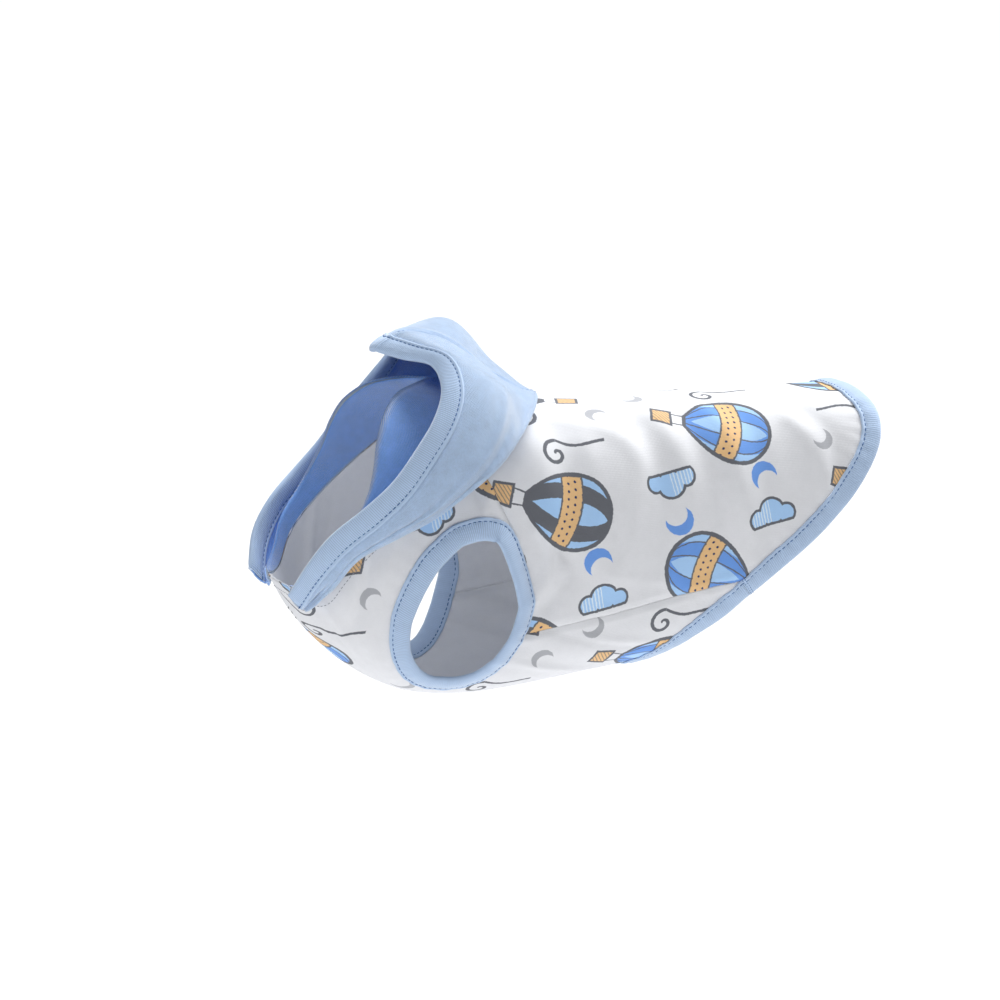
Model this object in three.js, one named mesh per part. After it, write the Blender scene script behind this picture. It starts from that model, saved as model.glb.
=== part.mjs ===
// Sleeveless hooded pet top in printed knit, shaped as it sits when worn with the hood down.
// Millimetres. +X runs toward the hem, +Z is up, the wearer's left side is -Y.
// The origin is the inner face of the back panel, half way along the back.
import * as THREE from 'three';

// Driving sizes
const BACK_LENGTH = 180;   // neck seam to hem along the top of the back
const BODY_WIDTH = 98;     // side to side at the widest girth
const BODY_DEPTH = 128;    // back to belly at the chest
const HOOD_REACH = 50;     // how far the fallen hood spreads from its neck seam
const BAND = 10;           // visible width of the folded ribbed binding
const CLOTH = 1.2;         // jersey wall as modelled
const RIB_WALL = 1.0;      // one layer of the binding strip
const TURN = 2;            // binding beyond the raw edge, where the strip folds over
const GAP = 0.3;           // clearance between neighbouring pieces
const SEAM_SHIFT = 0.2;    // each panel's share of a seam clearance, along the edge it meets
const SQUARENESS = 0.035;  // how far the girth leans from an oval toward a square

// Girths of the body from throat to hem, as shares of the driving sizes
const GIRTHS = [
  // along = BACK_LENGTH; top, bottom, widest = BODY_DEPTH; side = BODY_WIDTH
  { along: -0.844, top: -0.047, bottom: -0.547, side: 0.245, widest: -0.313 },
  { along: -0.789, top: -0.008, bottom: -0.688, side: 0.337, widest: -0.359 },
  { along: -0.711, top: 0.023, bottom: -0.813, side: 0.418, widest: -0.406 },
  { along: -0.622, top: 0.031, bottom: -0.91, side: 0.459, widest: -0.445 },
  { along: -0.511, top: 0.031, bottom: -0.977, side: 0.48, widest: -0.477 },
  { along: -0.356, top: 0.016, bottom: -0.996, side: 0.495, widest: -0.484 },
  { along: -0.156, top: 0, bottom: -0.969, side: 0.5, widest: -0.477 },
  { along: 0.044, top: 0, bottom: -0.93, side: 0.49, widest: -0.461 },
  { along: 0.244, top: 0, bottom: -0.891, side: 0.469, widest: -0.438 },
  { along: 0.444, top: 0, bottom: -0.859, side: 0.454, widest: -0.414 },
  { along: 0.689, top: 0, bottom: -0.82, side: 0.439, widest: -0.398 },
];

// Lines on the body: along is a share of BACK_LENGTH, turn is degrees round from the top
const NECK_SEAM = [
  { along: -0.344, turn: 0 }, { along: -0.358, turn: 15 }, { along: -0.389, turn: 30 },
  { along: -0.428, turn: 42 }, { along: -0.467, turn: 50 }, { along: -0.533, turn: 61 },
  { along: -0.611, turn: 74 }, { along: -0.678, turn: 86 }, { along: -0.719, turn: 95.5 },
  { along: -0.747, turn: 106 }, { along: -0.769, turn: 119 }, { along: -0.794, turn: 130 },
  { along: -0.817, turn: 144 }, { along: -0.831, turn: 156 }, { along: -0.837, turn: 168 },
  { along: -0.839, turn: 180 },
];
const SHOULDER_TURN = 42;  // where the shoulder seam leaves the neck seam
const HOOD_START_TURN = 150;  // where each hood half starts beside the throat
// Stitched edge of the armhole binding, from the shoulder seam forward, under and back up
const ARMHOLE = [
  { along: -0.322, turn: 80 }, { along: -0.34, turn: 76.5 }, { along: -0.37, turn: 74.5 },
  { along: -0.403, turn: 74 }, { along: -0.436, turn: 74.8 }, { along: -0.478, turn: 77 },
  { along: -0.519, turn: 82 }, { along: -0.556, turn: 88 }, { along: -0.589, turn: 97 },
  { along: -0.612, turn: 107 }, { along: -0.62, turn: 115 }, { along: -0.616, turn: 126 },
  { along: -0.597, turn: 136 }, { along: -0.561, turn: 145.5 }, { along: -0.506, turn: 151 },
  { along: -0.444, turn: 150 }, { along: -0.383, turn: 143 }, { along: -0.339, turn: 133.5 },
  { along: -0.31, turn: 124.5 }, { along: -0.291, turn: 117 }, { along: -0.277, turn: 110 },
  { along: -0.273, turn: 104 }, { along: -0.281, turn: 98 }, { along: -0.294, turn: 91.5 },
  { along: -0.308, turn: 85 }, { along: -0.322, turn: 80 },
];
const SIDE_SEAM_TURN = 117;  // where the armhole meets the side seam
// Free edge of the hem, from the top of the back to the middle of the belly
const HEM = [
  { along: 0.656, turn: 0 }, { along: 0.661, turn: 9 }, { along: 0.669, turn: 22 },
  { along: 0.678, turn: 36 }, { along: 0.677, turn: 47 }, { along: 0.666, turn: 57.5 },
  { along: 0.644, turn: 66.5 }, { along: 0.613, turn: 75 }, { along: 0.574, turn: 83.5 },
  { along: 0.536, turn: 90 }, { along: 0.49, turn: 97 }, { along: 0.442, turn: 103 },
  { along: 0.389, turn: 109 }, { along: 0.347, turn: 114 }, { along: 0.309, turn: 119 },
  { along: 0.258, turn: 127 }, { along: 0.205, turn: 135 }, { along: 0.158, turn: 143.5 },
  { along: 0.118, turn: 153 }, { along: 0.087, turn: 164 }, { along: 0.069, turn: 173 },
  { along: 0.066, turn: 180 },
];
const HEM_CORNER_TURN = 119;  // where the side seam reaches the hem

// Soft folds of the panels: a ridge or dip lying on the body
const FOLDS = [
  // along and turn place its middle; lean turns it from girthwise; run and spread are its
  // half length and half width, in shares of BACK_LENGTH; rise is in shares of BODY_WIDTH
  { along: -0.235, turn: 62, lean: 8, run: 0.19, spread: 0.045, rise: 0.016 },
  { along: -0.165, turn: 78, lean: 4, run: 0.2, spread: 0.04, rise: -0.013 },
  { along: -0.06, turn: 70, lean: -6, run: 0.2, spread: 0.055, rise: 0.011 },
  { along: 0.09, turn: 80, lean: 6, run: 0.19, spread: 0.06, rise: -0.009 },
  { along: 0.26, turn: 62, lean: 12, run: 0.17, spread: 0.055, rise: 0.009 },
  { along: 0.42, turn: 66, lean: 16, run: 0.15, spread: 0.05, rise: -0.008 },
  { along: -0.15, turn: 128, lean: 70, run: 0.22, spread: 0.04, rise: 0.01 },
  { along: 0.08, turn: 112, lean: 78, run: 0.2, spread: 0.045, rise: -0.009 },
  { along: -0.665, turn: 112, lean: -22, run: 0.16, spread: 0.03, rise: -0.012 },
  { along: -0.63, turn: 140, lean: 30, run: 0.13, spread: 0.035, rise: 0.01 },
];

// The hood half, row by row from the throat to the middle of the nape. place is a share of the
// hood's neck seam. out is away from the neck seam over the panel, up is off the body and on is
// toward the nape, all in shares of HOOD_REACH. ridge is where the lower layer rolls over beside
// the neck, fold is the bottom of the bag, edge is the free edge of the binding, and low, middle
// and high lift the outer layer off the straight line between fold and edge.
const HOOD_ROWS = [
  { place: 0, ridge: [-0.07, 0.01, 0.13], fold: [0.06, 0.05, 0.29], edge: [-0.15, 0.15, 0.24],
    low: 0.03, middle: 0.03, high: 0.01 },
  { place: 0.16, ridge: [-0.15, 0, 0.06], fold: [-0.02, 0.07, 0.2], edge: [-0.33, 0.16, 0.15],
    low: 0.03, middle: 0.03, high: 0.02 },
  { place: 0.31, ridge: [-0.17, 0, 0.02], fold: [0.06, 0.12, 0.13], edge: [-0.25, 0.17, 0.15],
    low: 0.04, middle: 0.04, high: 0.02 },
  { place: 0.44, ridge: [-0.2, 0, -0.1], fold: [0.13, 0.17, 0.03], edge: [-0.25, 0.2, 0.02],
    low: 0.05, middle: 0.05, high: 0.03 },
  { place: 0.54, ridge: [-0.27, -0.02, -0.24], fold: [0.23, 0.22, -0.03],
    edge: [-0.24, 0.25, -0.06], low: 0.06, middle: 0.07, high: 0.04 },
  { place: 0.62, ridge: [-0.38, -0.04, -0.32], fold: [0.31, 0.24, 0.02],
    edge: [-0.26, 0.32, -0.08], low: 0.08, middle: 0.1, high: 0.05 },
  { place: 0.69, ridge: [-0.53, -0.02, -0.35], fold: [0.37, 0.21, 0.1], edge: [-0.29, 0.39, -0.03],
    low: 0.1, middle: 0.14, high: 0.07 },
  { place: 0.77, ridge: [-0.68, 0.04, -0.26], fold: [0.42, 0.15, 0.09], edge: [-0.33, 0.43, -0.03],
    low: 0.15, middle: 0.21, high: 0.11 },
  { place: 0.85, ridge: [-0.68, 0.12, -0.12], fold: [0.48, 0.1, 0.06], edge: [-0.44, 0.44, -0.06],
    low: 0.2, middle: 0.3, high: 0.18 },
  { place: 0.925, ridge: [-0.52, 0.17, -0.03], fold: [0.55, 0.07, 0.06],
    edge: [-0.69, 0.4, -0.11], low: 0.24, middle: 0.4, high: 0.26 },
  { place: 1, ridge: [-0.36, 0.18, 0], fold: [0.62, 0.06, 0], edge: [-0.93, 0.42, 0],
    low: 0.04, middle: 0.24, high: 0.25 },
];

// How finely each piece is divided
const BACK_ACROSS = { neck: 5, shoulder: 4, armhole: 5 };
const BACK_ALONG = 13;
const CHEST_ROUND = { neck: 15, middle: 13, hem: 7 };
const CHEST_OUT = 9;
const HOOD_ROUND = 20;
const HOOD_OVER = { collar: 2, under: 4, outer: 7 };

const DEGREES = Math.PI / 180;

// Smooth column of the girth table, with a slope at each row from its neighbours
function smooth(places, values, x) {
  const last = places.length - 1;
  let i = 0;
  while (i < last - 1 && x > places[i + 1]) i += 1;
  const slope = (k) => {
    const a = Math.max(k - 1, 0), b = Math.min(k + 1, last);
    return (values[b] - values[a]) / (places[b] - places[a]);
  };
  const step = places[i + 1] - places[i], t = (x - places[i]) / step;
  const t2 = t * t, t3 = t2 * t;
  return (2 * t3 - 3 * t2 + 1) * values[i] + (t3 - 2 * t2 + t) * step * slope(i)
    + (3 * t2 - 2 * t3) * values[i + 1] + (t3 - t2) * step * slope(i + 1);
}

const ALONGS = GIRTHS.map((g) => g.along * BACK_LENGTH);
const girthColumn = (name, size) => GIRTHS.map((g) => g[name] * size);
const TOPS = girthColumn('top', BODY_DEPTH), BOTTOMS = girthColumn('bottom', BODY_DEPTH);
const SIDES = girthColumn('side', BODY_WIDTH), WIDESTS = girthColumn('widest', BODY_DEPTH);

// Point of the bare body form at x, turn degrees round from the top; the left side is -Y
function form(x, turn) {
  const top = smooth(ALONGS, TOPS, x), bottom = smooth(ALONGS, BOTTOMS, x);
  const side = smooth(ALONGS, SIDES, x), widest = smooth(ALONGS, WIDESTS, x);
  const r = turn * DEGREES;
  const across = (Math.sin(r) + SQUARENESS * Math.sin(3 * r)) / (1 - SQUARENESS);
  const height = (Math.cos(r) - SQUARENESS * Math.cos(3 * r)) / (1 - SQUARENESS);
  const reach = height > 0 ? top - widest : widest - bottom;
  return new THREE.Vector3(x, -side * across, widest + reach * height + CLOTH);
}

// Outward direction of the form
function outward(x, turn) {
  const e = 0.5;
  const alongX = form(x + e, turn).sub(form(x - e, turn));
  const round = form(x, turn + e).sub(form(x, turn - e));
  return round.cross(alongX).normalize();
}

// Millimetres the surface moves per unit of x and per degree of turn
function stretch(x, turn) {
  const e = 0.5;
  return [form(x + e, turn).distanceTo(form(x - e, turn)),
    form(x, turn + e).distanceTo(form(x, turn - e))];
}

// Height of the soft folds at a place on the body
function folds(x, turn) {
  let rise = 0;
  for (const f of FOLDS) {
    const dx = x - f.along * BACK_LENGTH, dt = turn - f.turn;
    const c = Math.cos(f.lean * DEGREES), s = Math.sin(f.lean * DEGREES);
    const acrossFold = (dx * c - dt * s) / (f.spread * BACK_LENGTH);
    const alongFold = (dx * s + dt * c) / (f.run * BACK_LENGTH);
    rise += f.rise * BODY_WIDTH * Math.exp(-(acrossFold ** 2) - alongFold ** 2);
  }
  return rise;
}

// A knot of cloth: the middle of the wall and the direction through it
function onBody([x, turn], lift = 0) {
  const through = outward(x, turn);
  const at = form(x, turn).addScaledVector(through, folds(x, turn) - CLOTH / 2 + lift);
  return { at, through };
}

// Smooth line through the rows, sampled finely with its running length
function line(rows, loop = false) {
  const p = rows.map((r) => [r.along * BACK_LENGTH, r.turn]);
  const last = p.length - 1;
  const points = [];
  for (let i = 0; i < last; i += 1) {
    const a = p[i > 0 ? i - 1 : (loop ? last - 1 : 0)], b = p[i], c = p[i + 1];
    const d = p[i + 2 <= last ? i + 2 : (loop ? 1 : last)];
    for (let k = 0; k < 12; k += 1) {
      const t = k / 12;
      points.push([0, 1].map((n) => 0.5 * (2 * b[n] + (c[n] - a[n]) * t
        + (2 * a[n] - 5 * b[n] + 4 * c[n] - d[n]) * t * t
        + (3 * b[n] - a[n] - 3 * c[n] + d[n]) * t * t * t)));
    }
  }
  points.push(p[last]);
  const lengths = [0];
  for (let i = 1; i < points.length; i += 1) {
    const dx = points[i][0] - points[i - 1][0], dt = points[i][1] - points[i - 1][1];
    lengths.push(lengths[i - 1] + Math.hypot(dx, dt));
  }
  return { points, lengths, total: lengths[lengths.length - 1], loop };
}

// Point of a line at a running length; a loop carries on past its end
function pointAt(ln, length) {
  const s = ln.loop ? (length + ln.total) % ln.total : Math.min(Math.max(length, 0), ln.total);
  let i = 1;
  while (i < ln.lengths.length - 1 && ln.lengths[i] < s) i += 1;
  const t = (s - ln.lengths[i - 1]) / (ln.lengths[i] - ln.lengths[i - 1]);
  return [0, 1].map((n) => ln.points[i - 1][n] * (1 - t) + ln.points[i][n] * t);
}

// Running length at which a line reaches a turn, looking from one share of it to another
function lengthAtTurn(ln, turn, from = 0, to = 1) {
  let best = 0, miss = Infinity;
  for (let k = 0; k <= 2000; k += 1) {
    const s = ln.total * (from + (to - from) * k / 2000);
    const d = Math.abs(pointAt(ln, s)[1] - turn);
    if (d < miss) { miss = d; best = s; }
  }
  return best;
}

// Point a distance in millimetres beside a line, square to it. A line that ends on the middle of
// the body is square to the middle there.
function beside(ln, length, distance) {
  const here = pointAt(ln, length);
  const before = pointAt(ln, length - 2), after = pointAt(ln, length + 2);
  const [gx, gt] = stretch(...here);
  const onMiddle = !ln.loop && (length <= 0 || length >= ln.total);
  const dx = onMiddle ? 0 : (after[0] - before[0]) * gx, dt = (after[1] - before[1]) * gt;
  const size = Math.hypot(dx, dt);
  return [here[0] - distance * dt / size / gx, here[1] + distance * dx / size / gt];
}

const spread = (from, to, count) => Array.from({ length: count + 1 },
  (_, k) => from + (to - from) * k / count);
const mix = (a, b, t) => a.map((v, n) => v * (1 - t) + b[n] * t);

// Whether the first two knots are nearer than the second two. Four-sided faces are cut along their
// shorter diagonal, so that a binding and the cloth inside it are cut alike.
const shorter = (a, b, c, d) => a.at.distanceTo(b.at) < c.at.distanceTo(d.at);

// Adds a grid of knots to a sheet under construction, sharing knots that coincide
class Sheet {
  constructor() { this.knots = []; this.names = new Map(); this.faces = []; }

  knot(k) {
    const name = k.at.toArray().map((v) => Math.round(v * 200)).join();
    if (!this.names.has(name)) { this.names.set(name, this.knots.length); this.knots.push(k); }
    return this.names.get(name);
  }

  // rows of knots; flip turns the faces over
  grid(rows, flip = false) {
    const ids = rows.map((row) => row.map((k) => this.knot(k)));
    for (let i = 0; i < ids.length - 1; i += 1) {
      for (let j = 0; j < ids[i].length - 1; j += 1) {
        const q = [ids[i][j], ids[i + 1][j], ids[i + 1][j + 1], ids[i][j + 1]];
        const k = [rows[i][j], rows[i + 1][j], rows[i + 1][j + 1], rows[i][j + 1]];
        const cut = shorter(k[0], k[2], k[1], k[3])
          ? [[q[0], q[1], q[2]], [q[0], q[2], q[3]]] : [[q[0], q[1], q[3]], [q[1], q[2], q[3]]];
        for (const f of cut) {
          if (flip) f.reverse();
          if (f[0] !== f[1] && f[1] !== f[2] && f[2] !== f[0]) this.faces.push(f);
        }
      }
    }
  }

  // the same grid on both sides of the body
  both(rows) {
    const far = (k) => ({ at: new THREE.Vector3(k.at.x, -k.at.y, k.at.z),
      through: new THREE.Vector3(k.through.x, -k.through.y, k.through.z) });
    this.grid(rows);
    this.grid(rows.map((row) => row.map(far)), true);
  }

  // closed wall of the given thickness
  solid(thickness) {
    const n = this.knots.length, points = [];
    for (const side of [0.5, -0.5]) {
      for (const k of this.knots) {
        points.push(k.at.clone().addScaledVector(k.through, side * thickness));
      }
    }
    const faces = [], used = new Map();
    for (const [a, b, c] of this.faces) {
      faces.push([a, b, c], [n + a, n + c, n + b]);
      for (const [p, q] of [[a, b], [b, c], [c, a]]) used.set(`${p},${q}`, [p, q]);
    }
    for (const [p, q] of used.values()) {
      if (!used.has(`${q},${p}`)) faces.push([q, p, n + p], [q, n + p, n + q]);
    }
    return asGeometry(points, faces);
  }
}

// Indexed geometry turned outside out, with flat shading
function asGeometry(points, faces) {
  let volume = 0;
  for (const [a, b, c] of faces) {
    volume += points[a].dot(new THREE.Vector3().crossVectors(points[b], points[c]));
  }
  const list = volume < 0 ? faces.map(([a, b, c]) => [a, c, b]) : faces;
  const geometry = new THREE.BufferGeometry();
  geometry.setAttribute('position', new THREE.Float32BufferAttribute(
    points.flatMap((p) => p.toArray()), 3));
  geometry.setIndex(list.flat());
  geometry.computeVertexNormals();
  return geometry;
}

// Folded strip round a raw edge. Each station gives the knot at the stitched edge, the knot at the
// raw edge and, worked out here, the turned end. Loops close on themselves, other runs are capped.
function binding(stations, closed) {
  const half = CLOTH / 2 + GAP, outer = half + RIB_WALL;
  const points = [];
  for (const { stitched, raw } of stations) {
    const run = raw.at.clone().sub(stitched.at).normalize();
    const put = (k, beyond, lift) => points.push(k.at.clone()
      .addScaledVector(run, beyond).addScaledVector(k.through, lift));
    put(stitched, 0, half); put(stitched, 0, outer);
    put(raw, TURN * 0.55, outer); put(raw, TURN, half);
    put(raw, TURN, -half); put(raw, TURN * 0.55, -outer);
    put(stitched, 0, -outer); put(stitched, 0, -half);
    put(raw, GAP, -half); put(raw, GAP, half);
  }
  const around = 10, count = stations.length, faces = [];
  for (let i = 0; i < (closed ? count : count - 1); i += 1) {
    const next = (i + 1) % count, a = i * around, b = next * around;
    const here = stations[i], there = stations[next];
    const fromStitched = shorter(here.stitched, there.raw, here.raw, there.stitched);
    for (let j = 0; j < around; j += 1) {
      const k = (j + 1) % around, outbound = j === 1 || j === 7;
      if (fromStitched === outbound) faces.push([a + j, b + j, b + k], [a + j, b + k, a + k]);
      else faces.push([a + j, b + j, a + k], [b + j, b + k, a + k]);
    }
  }
  if (!closed) {
    const section = [[0, 1, 2], [0, 2, 9], [2, 3, 9], [3, 4, 9], [4, 8, 9], [4, 5, 8], [5, 6, 7],
      [5, 7, 8]];
    const end = (count - 1) * around;
    for (const [p, q, r] of section) faces.push([p, q, r], [end + p, end + r, end + q]);
  }
  return asGeometry(points, faces);
}

// Materials
const cloth = (name, color) => Object.assign(
  new THREE.MeshStandardMaterial({ color, roughness: 0.9, side: THREE.DoubleSide }), { name });
const PRINTED = cloth('printed_jersey', 0xe9eaee);
const PLAIN = cloth('plain_jersey', 0xa8c4e6);
const RIBBED = cloth('ribbed_binding', 0x9fb9dc);

const group = new THREE.Group();
group.name = 'hooded_pet_top';
function add(name, geometry, material) {
  const mesh = new THREE.Mesh(geometry, material);
  mesh.name = name;
  group.add(mesh);
}

// The lines every piece is laid out from
const neck = line(NECK_SEAM), arm = line(ARMHOLE, true), hem = line(HEM);
const shoulderOnNeck = lengthAtTurn(neck, SHOULDER_TURN);
const sideOnArm = lengthAtTurn(arm, SIDE_SEAM_TURN, 0.6, 0.9);
const sideOnHem = lengthAtTurn(hem, HEM_CORNER_TURN);
const WING = BAND - TURN;  // stitched edge to raw edge

// Knots of a binding over the edge of a panel: stitched edge and raw edge
const armStation = (s) => ({ stitched: onBody(pointAt(arm, s)), raw: onBody(beside(arm, s, -WING)) });
const hemStation = (s) => ({ stitched: onBody(beside(hem, s, BAND)),
  raw: onBody(beside(hem, s, TURN)) });

// Back panel: from the neck seam, shoulder seam and rear of the armhole to the hem
const armRear = spread(arm.total - SEAM_SHIFT, sideOnArm + SEAM_SHIFT, BACK_ACROSS.armhole);
const shoulderBack = [pointAt(neck, shoulderOnNeck - SEAM_SHIFT), pointAt(arm, armRear[0])];
const backFront = [
  ...spread(0, shoulderOnNeck - SEAM_SHIFT, BACK_ACROSS.neck).map((s) => pointAt(neck, s)),
  ...spread(0, 1, BACK_ACROSS.shoulder).slice(1, -1).map((t) => mix(...shoulderBack, t)),
  ...armRear.map((s) => pointAt(arm, s)),
];
const backHem = spread(0, sideOnHem - SEAM_SHIFT, backFront.length - 1);
const back = new Sheet();
back.both(backFront.map((front, i) => {
  const last = beside(hem, backHem[i], BAND);
  return [...spread(0, 1, BACK_ALONG).map((t) => onBody(mix(front, last, t))),
    hemStation(backHem[i]).raw];
}));
back.both(armRear.map((s) => [armStation(s).raw, armStation(s).stitched]));
add('back_panel', back.solid(CLOTH), PRINTED);

// Chest panel: round the armhole from the shoulder seam to the side seam, and out to the neck
// seam, the middle of the chest and the belly hem
const breaks = [SEAM_SHIFT, arm.total * 0.49, arm.total * 0.685, sideOnArm - SEAM_SHIFT];
const armFront = [CHEST_ROUND.neck, CHEST_ROUND.middle, CHEST_ROUND.hem].flatMap(
  (count, k) => spread(breaks[k], breaks[k + 1], count).slice(k ? 1 : 0));
const bellyHem = spread(hem.total, sideOnHem + SEAM_SHIFT, CHEST_ROUND.hem);
const middleEnds = [pointAt(neck, neck.total), beside(hem, hem.total, BAND)];
const chestOuter = [
  ...spread(shoulderOnNeck + SEAM_SHIFT, neck.total, CHEST_ROUND.neck)
    .map((s) => pointAt(neck, s)),
  ...spread(0, 1, CHEST_ROUND.middle).slice(1, -1).map((t) => mix(...middleEnds, t)),
  middleEnds[1], ...bellyHem.slice(1).map((s) => beside(hem, s, BAND)),
];
const chest = new Sheet();
chest.both(chestOuter.map((outer, i) => {
  const inner = pointAt(arm, armFront[i]);
  return spread(0, 1, CHEST_OUT).map((t) => onBody(mix(inner, outer, t)));
}));
chest.both(armFront.map((s) => [armStation(s).raw, armStation(s).stitched]));
const bellyStations = bellyHem.map(hemStation);
chest.both(bellyStations.map((k) => [k.stitched, k.raw]));
add('chest_panel', chest.solid(CLOTH), PRINTED);

// Hood half: rows of key points in the frame of the neck seam, joined into one smooth surface
const hoodFrom = lengthAtTurn(neck, HOOD_START_TURN);
function neckFrame(place) {
  const s = hoodFrom * (1 - place), e = 1.5;
  const at = pointAt(neck, s);
  const on = form(...pointAt(neck, Math.max(s - e, 0)))
    .sub(form(...pointAt(neck, Math.min(s + e, neck.total)))).normalize();
  if (place === 1) on.set(0, 1, 0);
  const up = outward(...at);
  const out = new THREE.Vector3().crossVectors(up, on).normalize();
  if (out.x < 0) out.negate();
  return { origin: form(...at), out, up, on };
}
const hoodKeys = HOOD_ROWS.map((row) => {
  const { origin, out, up, on } = neckFrame(row.place);
  const place = (o, u, n = 0) => origin.clone().addScaledVector(out, o * HOOD_REACH)
    .addScaledVector(up, u * HOOD_REACH).addScaledVector(on, n * HOOD_REACH);
  const sewn = origin.clone().addScaledVector(out, -(GAP + CLOTH / 2)).addScaledVector(up, -CLOTH / 2);
  const ridge = place(...row.ridge), fold = place(...row.fold);
  const edge = place(...row.edge);
  const under = ridge.clone().lerp(fold, 0.5);
  const clear = under.clone().sub(origin).dot(up);
  under.addScaledVector(up, Math.max(2.2, clear * 0.55) - clear);
  const over = (t, lift) => fold.clone().lerp(edge, t).addScaledVector(up, lift * HOOD_REACH);
  return [sewn, ridge, under, fold, over(0.2, row.low), over(0.5, row.middle),
    over(0.8, row.high), edge];
});

// Smooth run through a list of points, at a share t of its knots
function through(points, t) {
  const last = points.length - 1, i = Math.min(Math.floor(t * last), last - 1), u = t * last - i;
  const a = points[Math.max(i - 1, 0)], b = points[i], c = points[i + 1];
  const d = points[Math.min(i + 2, last)];
  const mixed = (n) => 0.5 * (2 * b[n] + (c[n] - a[n]) * u
    + (2 * a[n] - 5 * b[n] + 4 * c[n] - d[n]) * u * u
    + (3 * b[n] - a[n] - 3 * c[n] + d[n]) * u * u * u);
  return new THREE.Vector3(mixed('x'), mixed('y'), mixed('z'));
}

// One row of the hood, spaced so that its last two knots carry the binding
function hoodRow(share) {
  const keys = hoodKeys[0].map((_, k) => through(hoodKeys.map((row) => row[k]), share));
  const fine = spread(0, 1, 140).map((t) => through(keys, t));
  const lengths = [0];
  for (let i = 1; i < fine.length; i += 1) {
    lengths.push(lengths[i - 1] + fine[i].distanceTo(fine[i - 1]));
  }
  const total = lengths[140], ridge = lengths[20], fold = lengths[60];
  const at = (s) => {
    let i = 1;
    while (i < 140 && lengths[i] < s) i += 1;
    return fine[i - 1].clone().lerp(fine[i], (s - lengths[i - 1]) / (lengths[i] - lengths[i - 1]));
  };
  const { collar, under, outer } = HOOD_OVER;
  const places = [
    ...spread(0, ridge, collar),
    ...spread(0, 1, under).slice(1).map((t) => ridge + (fold - ridge) * Math.sin(t * Math.PI / 2)),
    ...spread(0, 1, outer).slice(1).map((t) => fold
      + (total - BAND - fold) * (1 - Math.sin((1 - t) * Math.PI / 2))),
    total - TURN,
  ];
  return places.map(at);
}

const hoodPoints = spread(0, 1, HOOD_ROUND).map(hoodRow);
hoodPoints.forEach((row, i) => row.forEach((p) => {
  p.y = i === HOOD_ROUND ? -GAP / 2 : Math.min(p.y, -GAP / 2);
}));
const hoodKnots = hoodPoints.map((row, i) => row.map((at, j) => {
  const rowBefore = hoodPoints[Math.max(i - 1, 0)], rowAfter = hoodPoints[Math.min(i + 1, HOOD_ROUND)];
  const round = rowAfter[j].clone().sub(rowBefore[j]);
  const over = row[Math.min(j + 1, row.length - 1)].clone().sub(row[Math.max(j - 1, 0)]);
  const normal = over.cross(round).normalize();
  if (i === HOOD_ROUND) normal.setY(0).normalize();
  return { at, through: normal };
}));
const mirrored = (k) => ({ at: new THREE.Vector3(k.at.x, -k.at.y, k.at.z),
  through: new THREE.Vector3(k.through.x, -k.through.y, k.through.z) });
for (const [name, rows] of [['hood_left', hoodKnots],
  ['hood_right', hoodKnots.map((row) => row.map(mirrored))]]) {
  const half = new Sheet();
  half.grid(rows);
  add(name, half.solid(CLOTH), PLAIN);
}

// Bindings
const hoodStation = (row) => ({ stitched: row[row.length - 2], raw: row[row.length - 1] });
const hoodEdge = hoodKnots.map(hoodStation);
const farEdge = hoodKnots.slice(0, -1).reverse()
  .map((row) => hoodStation(row.map(mirrored)));
const middle = hoodEdge[HOOD_ROUND];
for (const k of [middle.stitched, middle.raw]) k.at = k.at.clone().setY(0);
add('hood_binding', binding([...hoodEdge, ...farEdge], false), RIBBED);

const armStations = [...armFront.slice(1, -1), sideOnArm, ...armRear.slice(1, -1).reverse(), 0]
  .map(armStation);
add('armhole_binding_left', binding(armStations, true), RIBBED);
add('armhole_binding_right', binding(armStations.map((k) => ({ stitched: mirrored(k.stitched),
  raw: mirrored(k.raw) })), true), RIBBED);

const backEdge = backHem.map(hemStation);
const bothSides = (stations) => [...stations.slice(1).reverse().map((k) => (
  { stitched: mirrored(k.stitched), raw: mirrored(k.raw) })), ...stations];
add('back_hem_binding', binding(bothSides(backEdge), false), RIBBED);
add('belly_hem_binding', binding(bothSides(bellyStations), false), RIBBED);

export default group;
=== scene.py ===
# %% [markdown]
# # A hooded sleeveless pet top in printed jersey
# The real top is cut from thin cotton jersey: a printed back and chest, a plain blue hood in two
# halves, and folded ribbed strips over every free edge. It is shown as it sits when worn, with the
# hood down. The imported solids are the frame; here every cloth piece gets its fine surface, its
# binding, its stitches and its finish. Shapes are worked out in millimetres and made in metres.

import math

import bpy
import numpy as np
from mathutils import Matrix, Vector


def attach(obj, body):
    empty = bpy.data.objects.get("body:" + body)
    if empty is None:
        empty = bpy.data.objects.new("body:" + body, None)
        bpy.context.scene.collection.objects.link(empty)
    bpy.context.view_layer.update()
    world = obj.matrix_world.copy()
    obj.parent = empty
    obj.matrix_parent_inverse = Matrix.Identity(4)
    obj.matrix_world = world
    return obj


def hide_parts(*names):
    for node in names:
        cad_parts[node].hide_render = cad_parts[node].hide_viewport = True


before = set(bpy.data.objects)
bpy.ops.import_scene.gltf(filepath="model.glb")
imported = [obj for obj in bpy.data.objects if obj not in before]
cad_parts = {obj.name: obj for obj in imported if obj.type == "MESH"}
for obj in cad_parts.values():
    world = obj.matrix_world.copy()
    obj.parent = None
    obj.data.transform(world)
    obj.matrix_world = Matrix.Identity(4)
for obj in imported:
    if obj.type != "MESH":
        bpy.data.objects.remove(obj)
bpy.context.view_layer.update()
MM = 0.001

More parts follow.
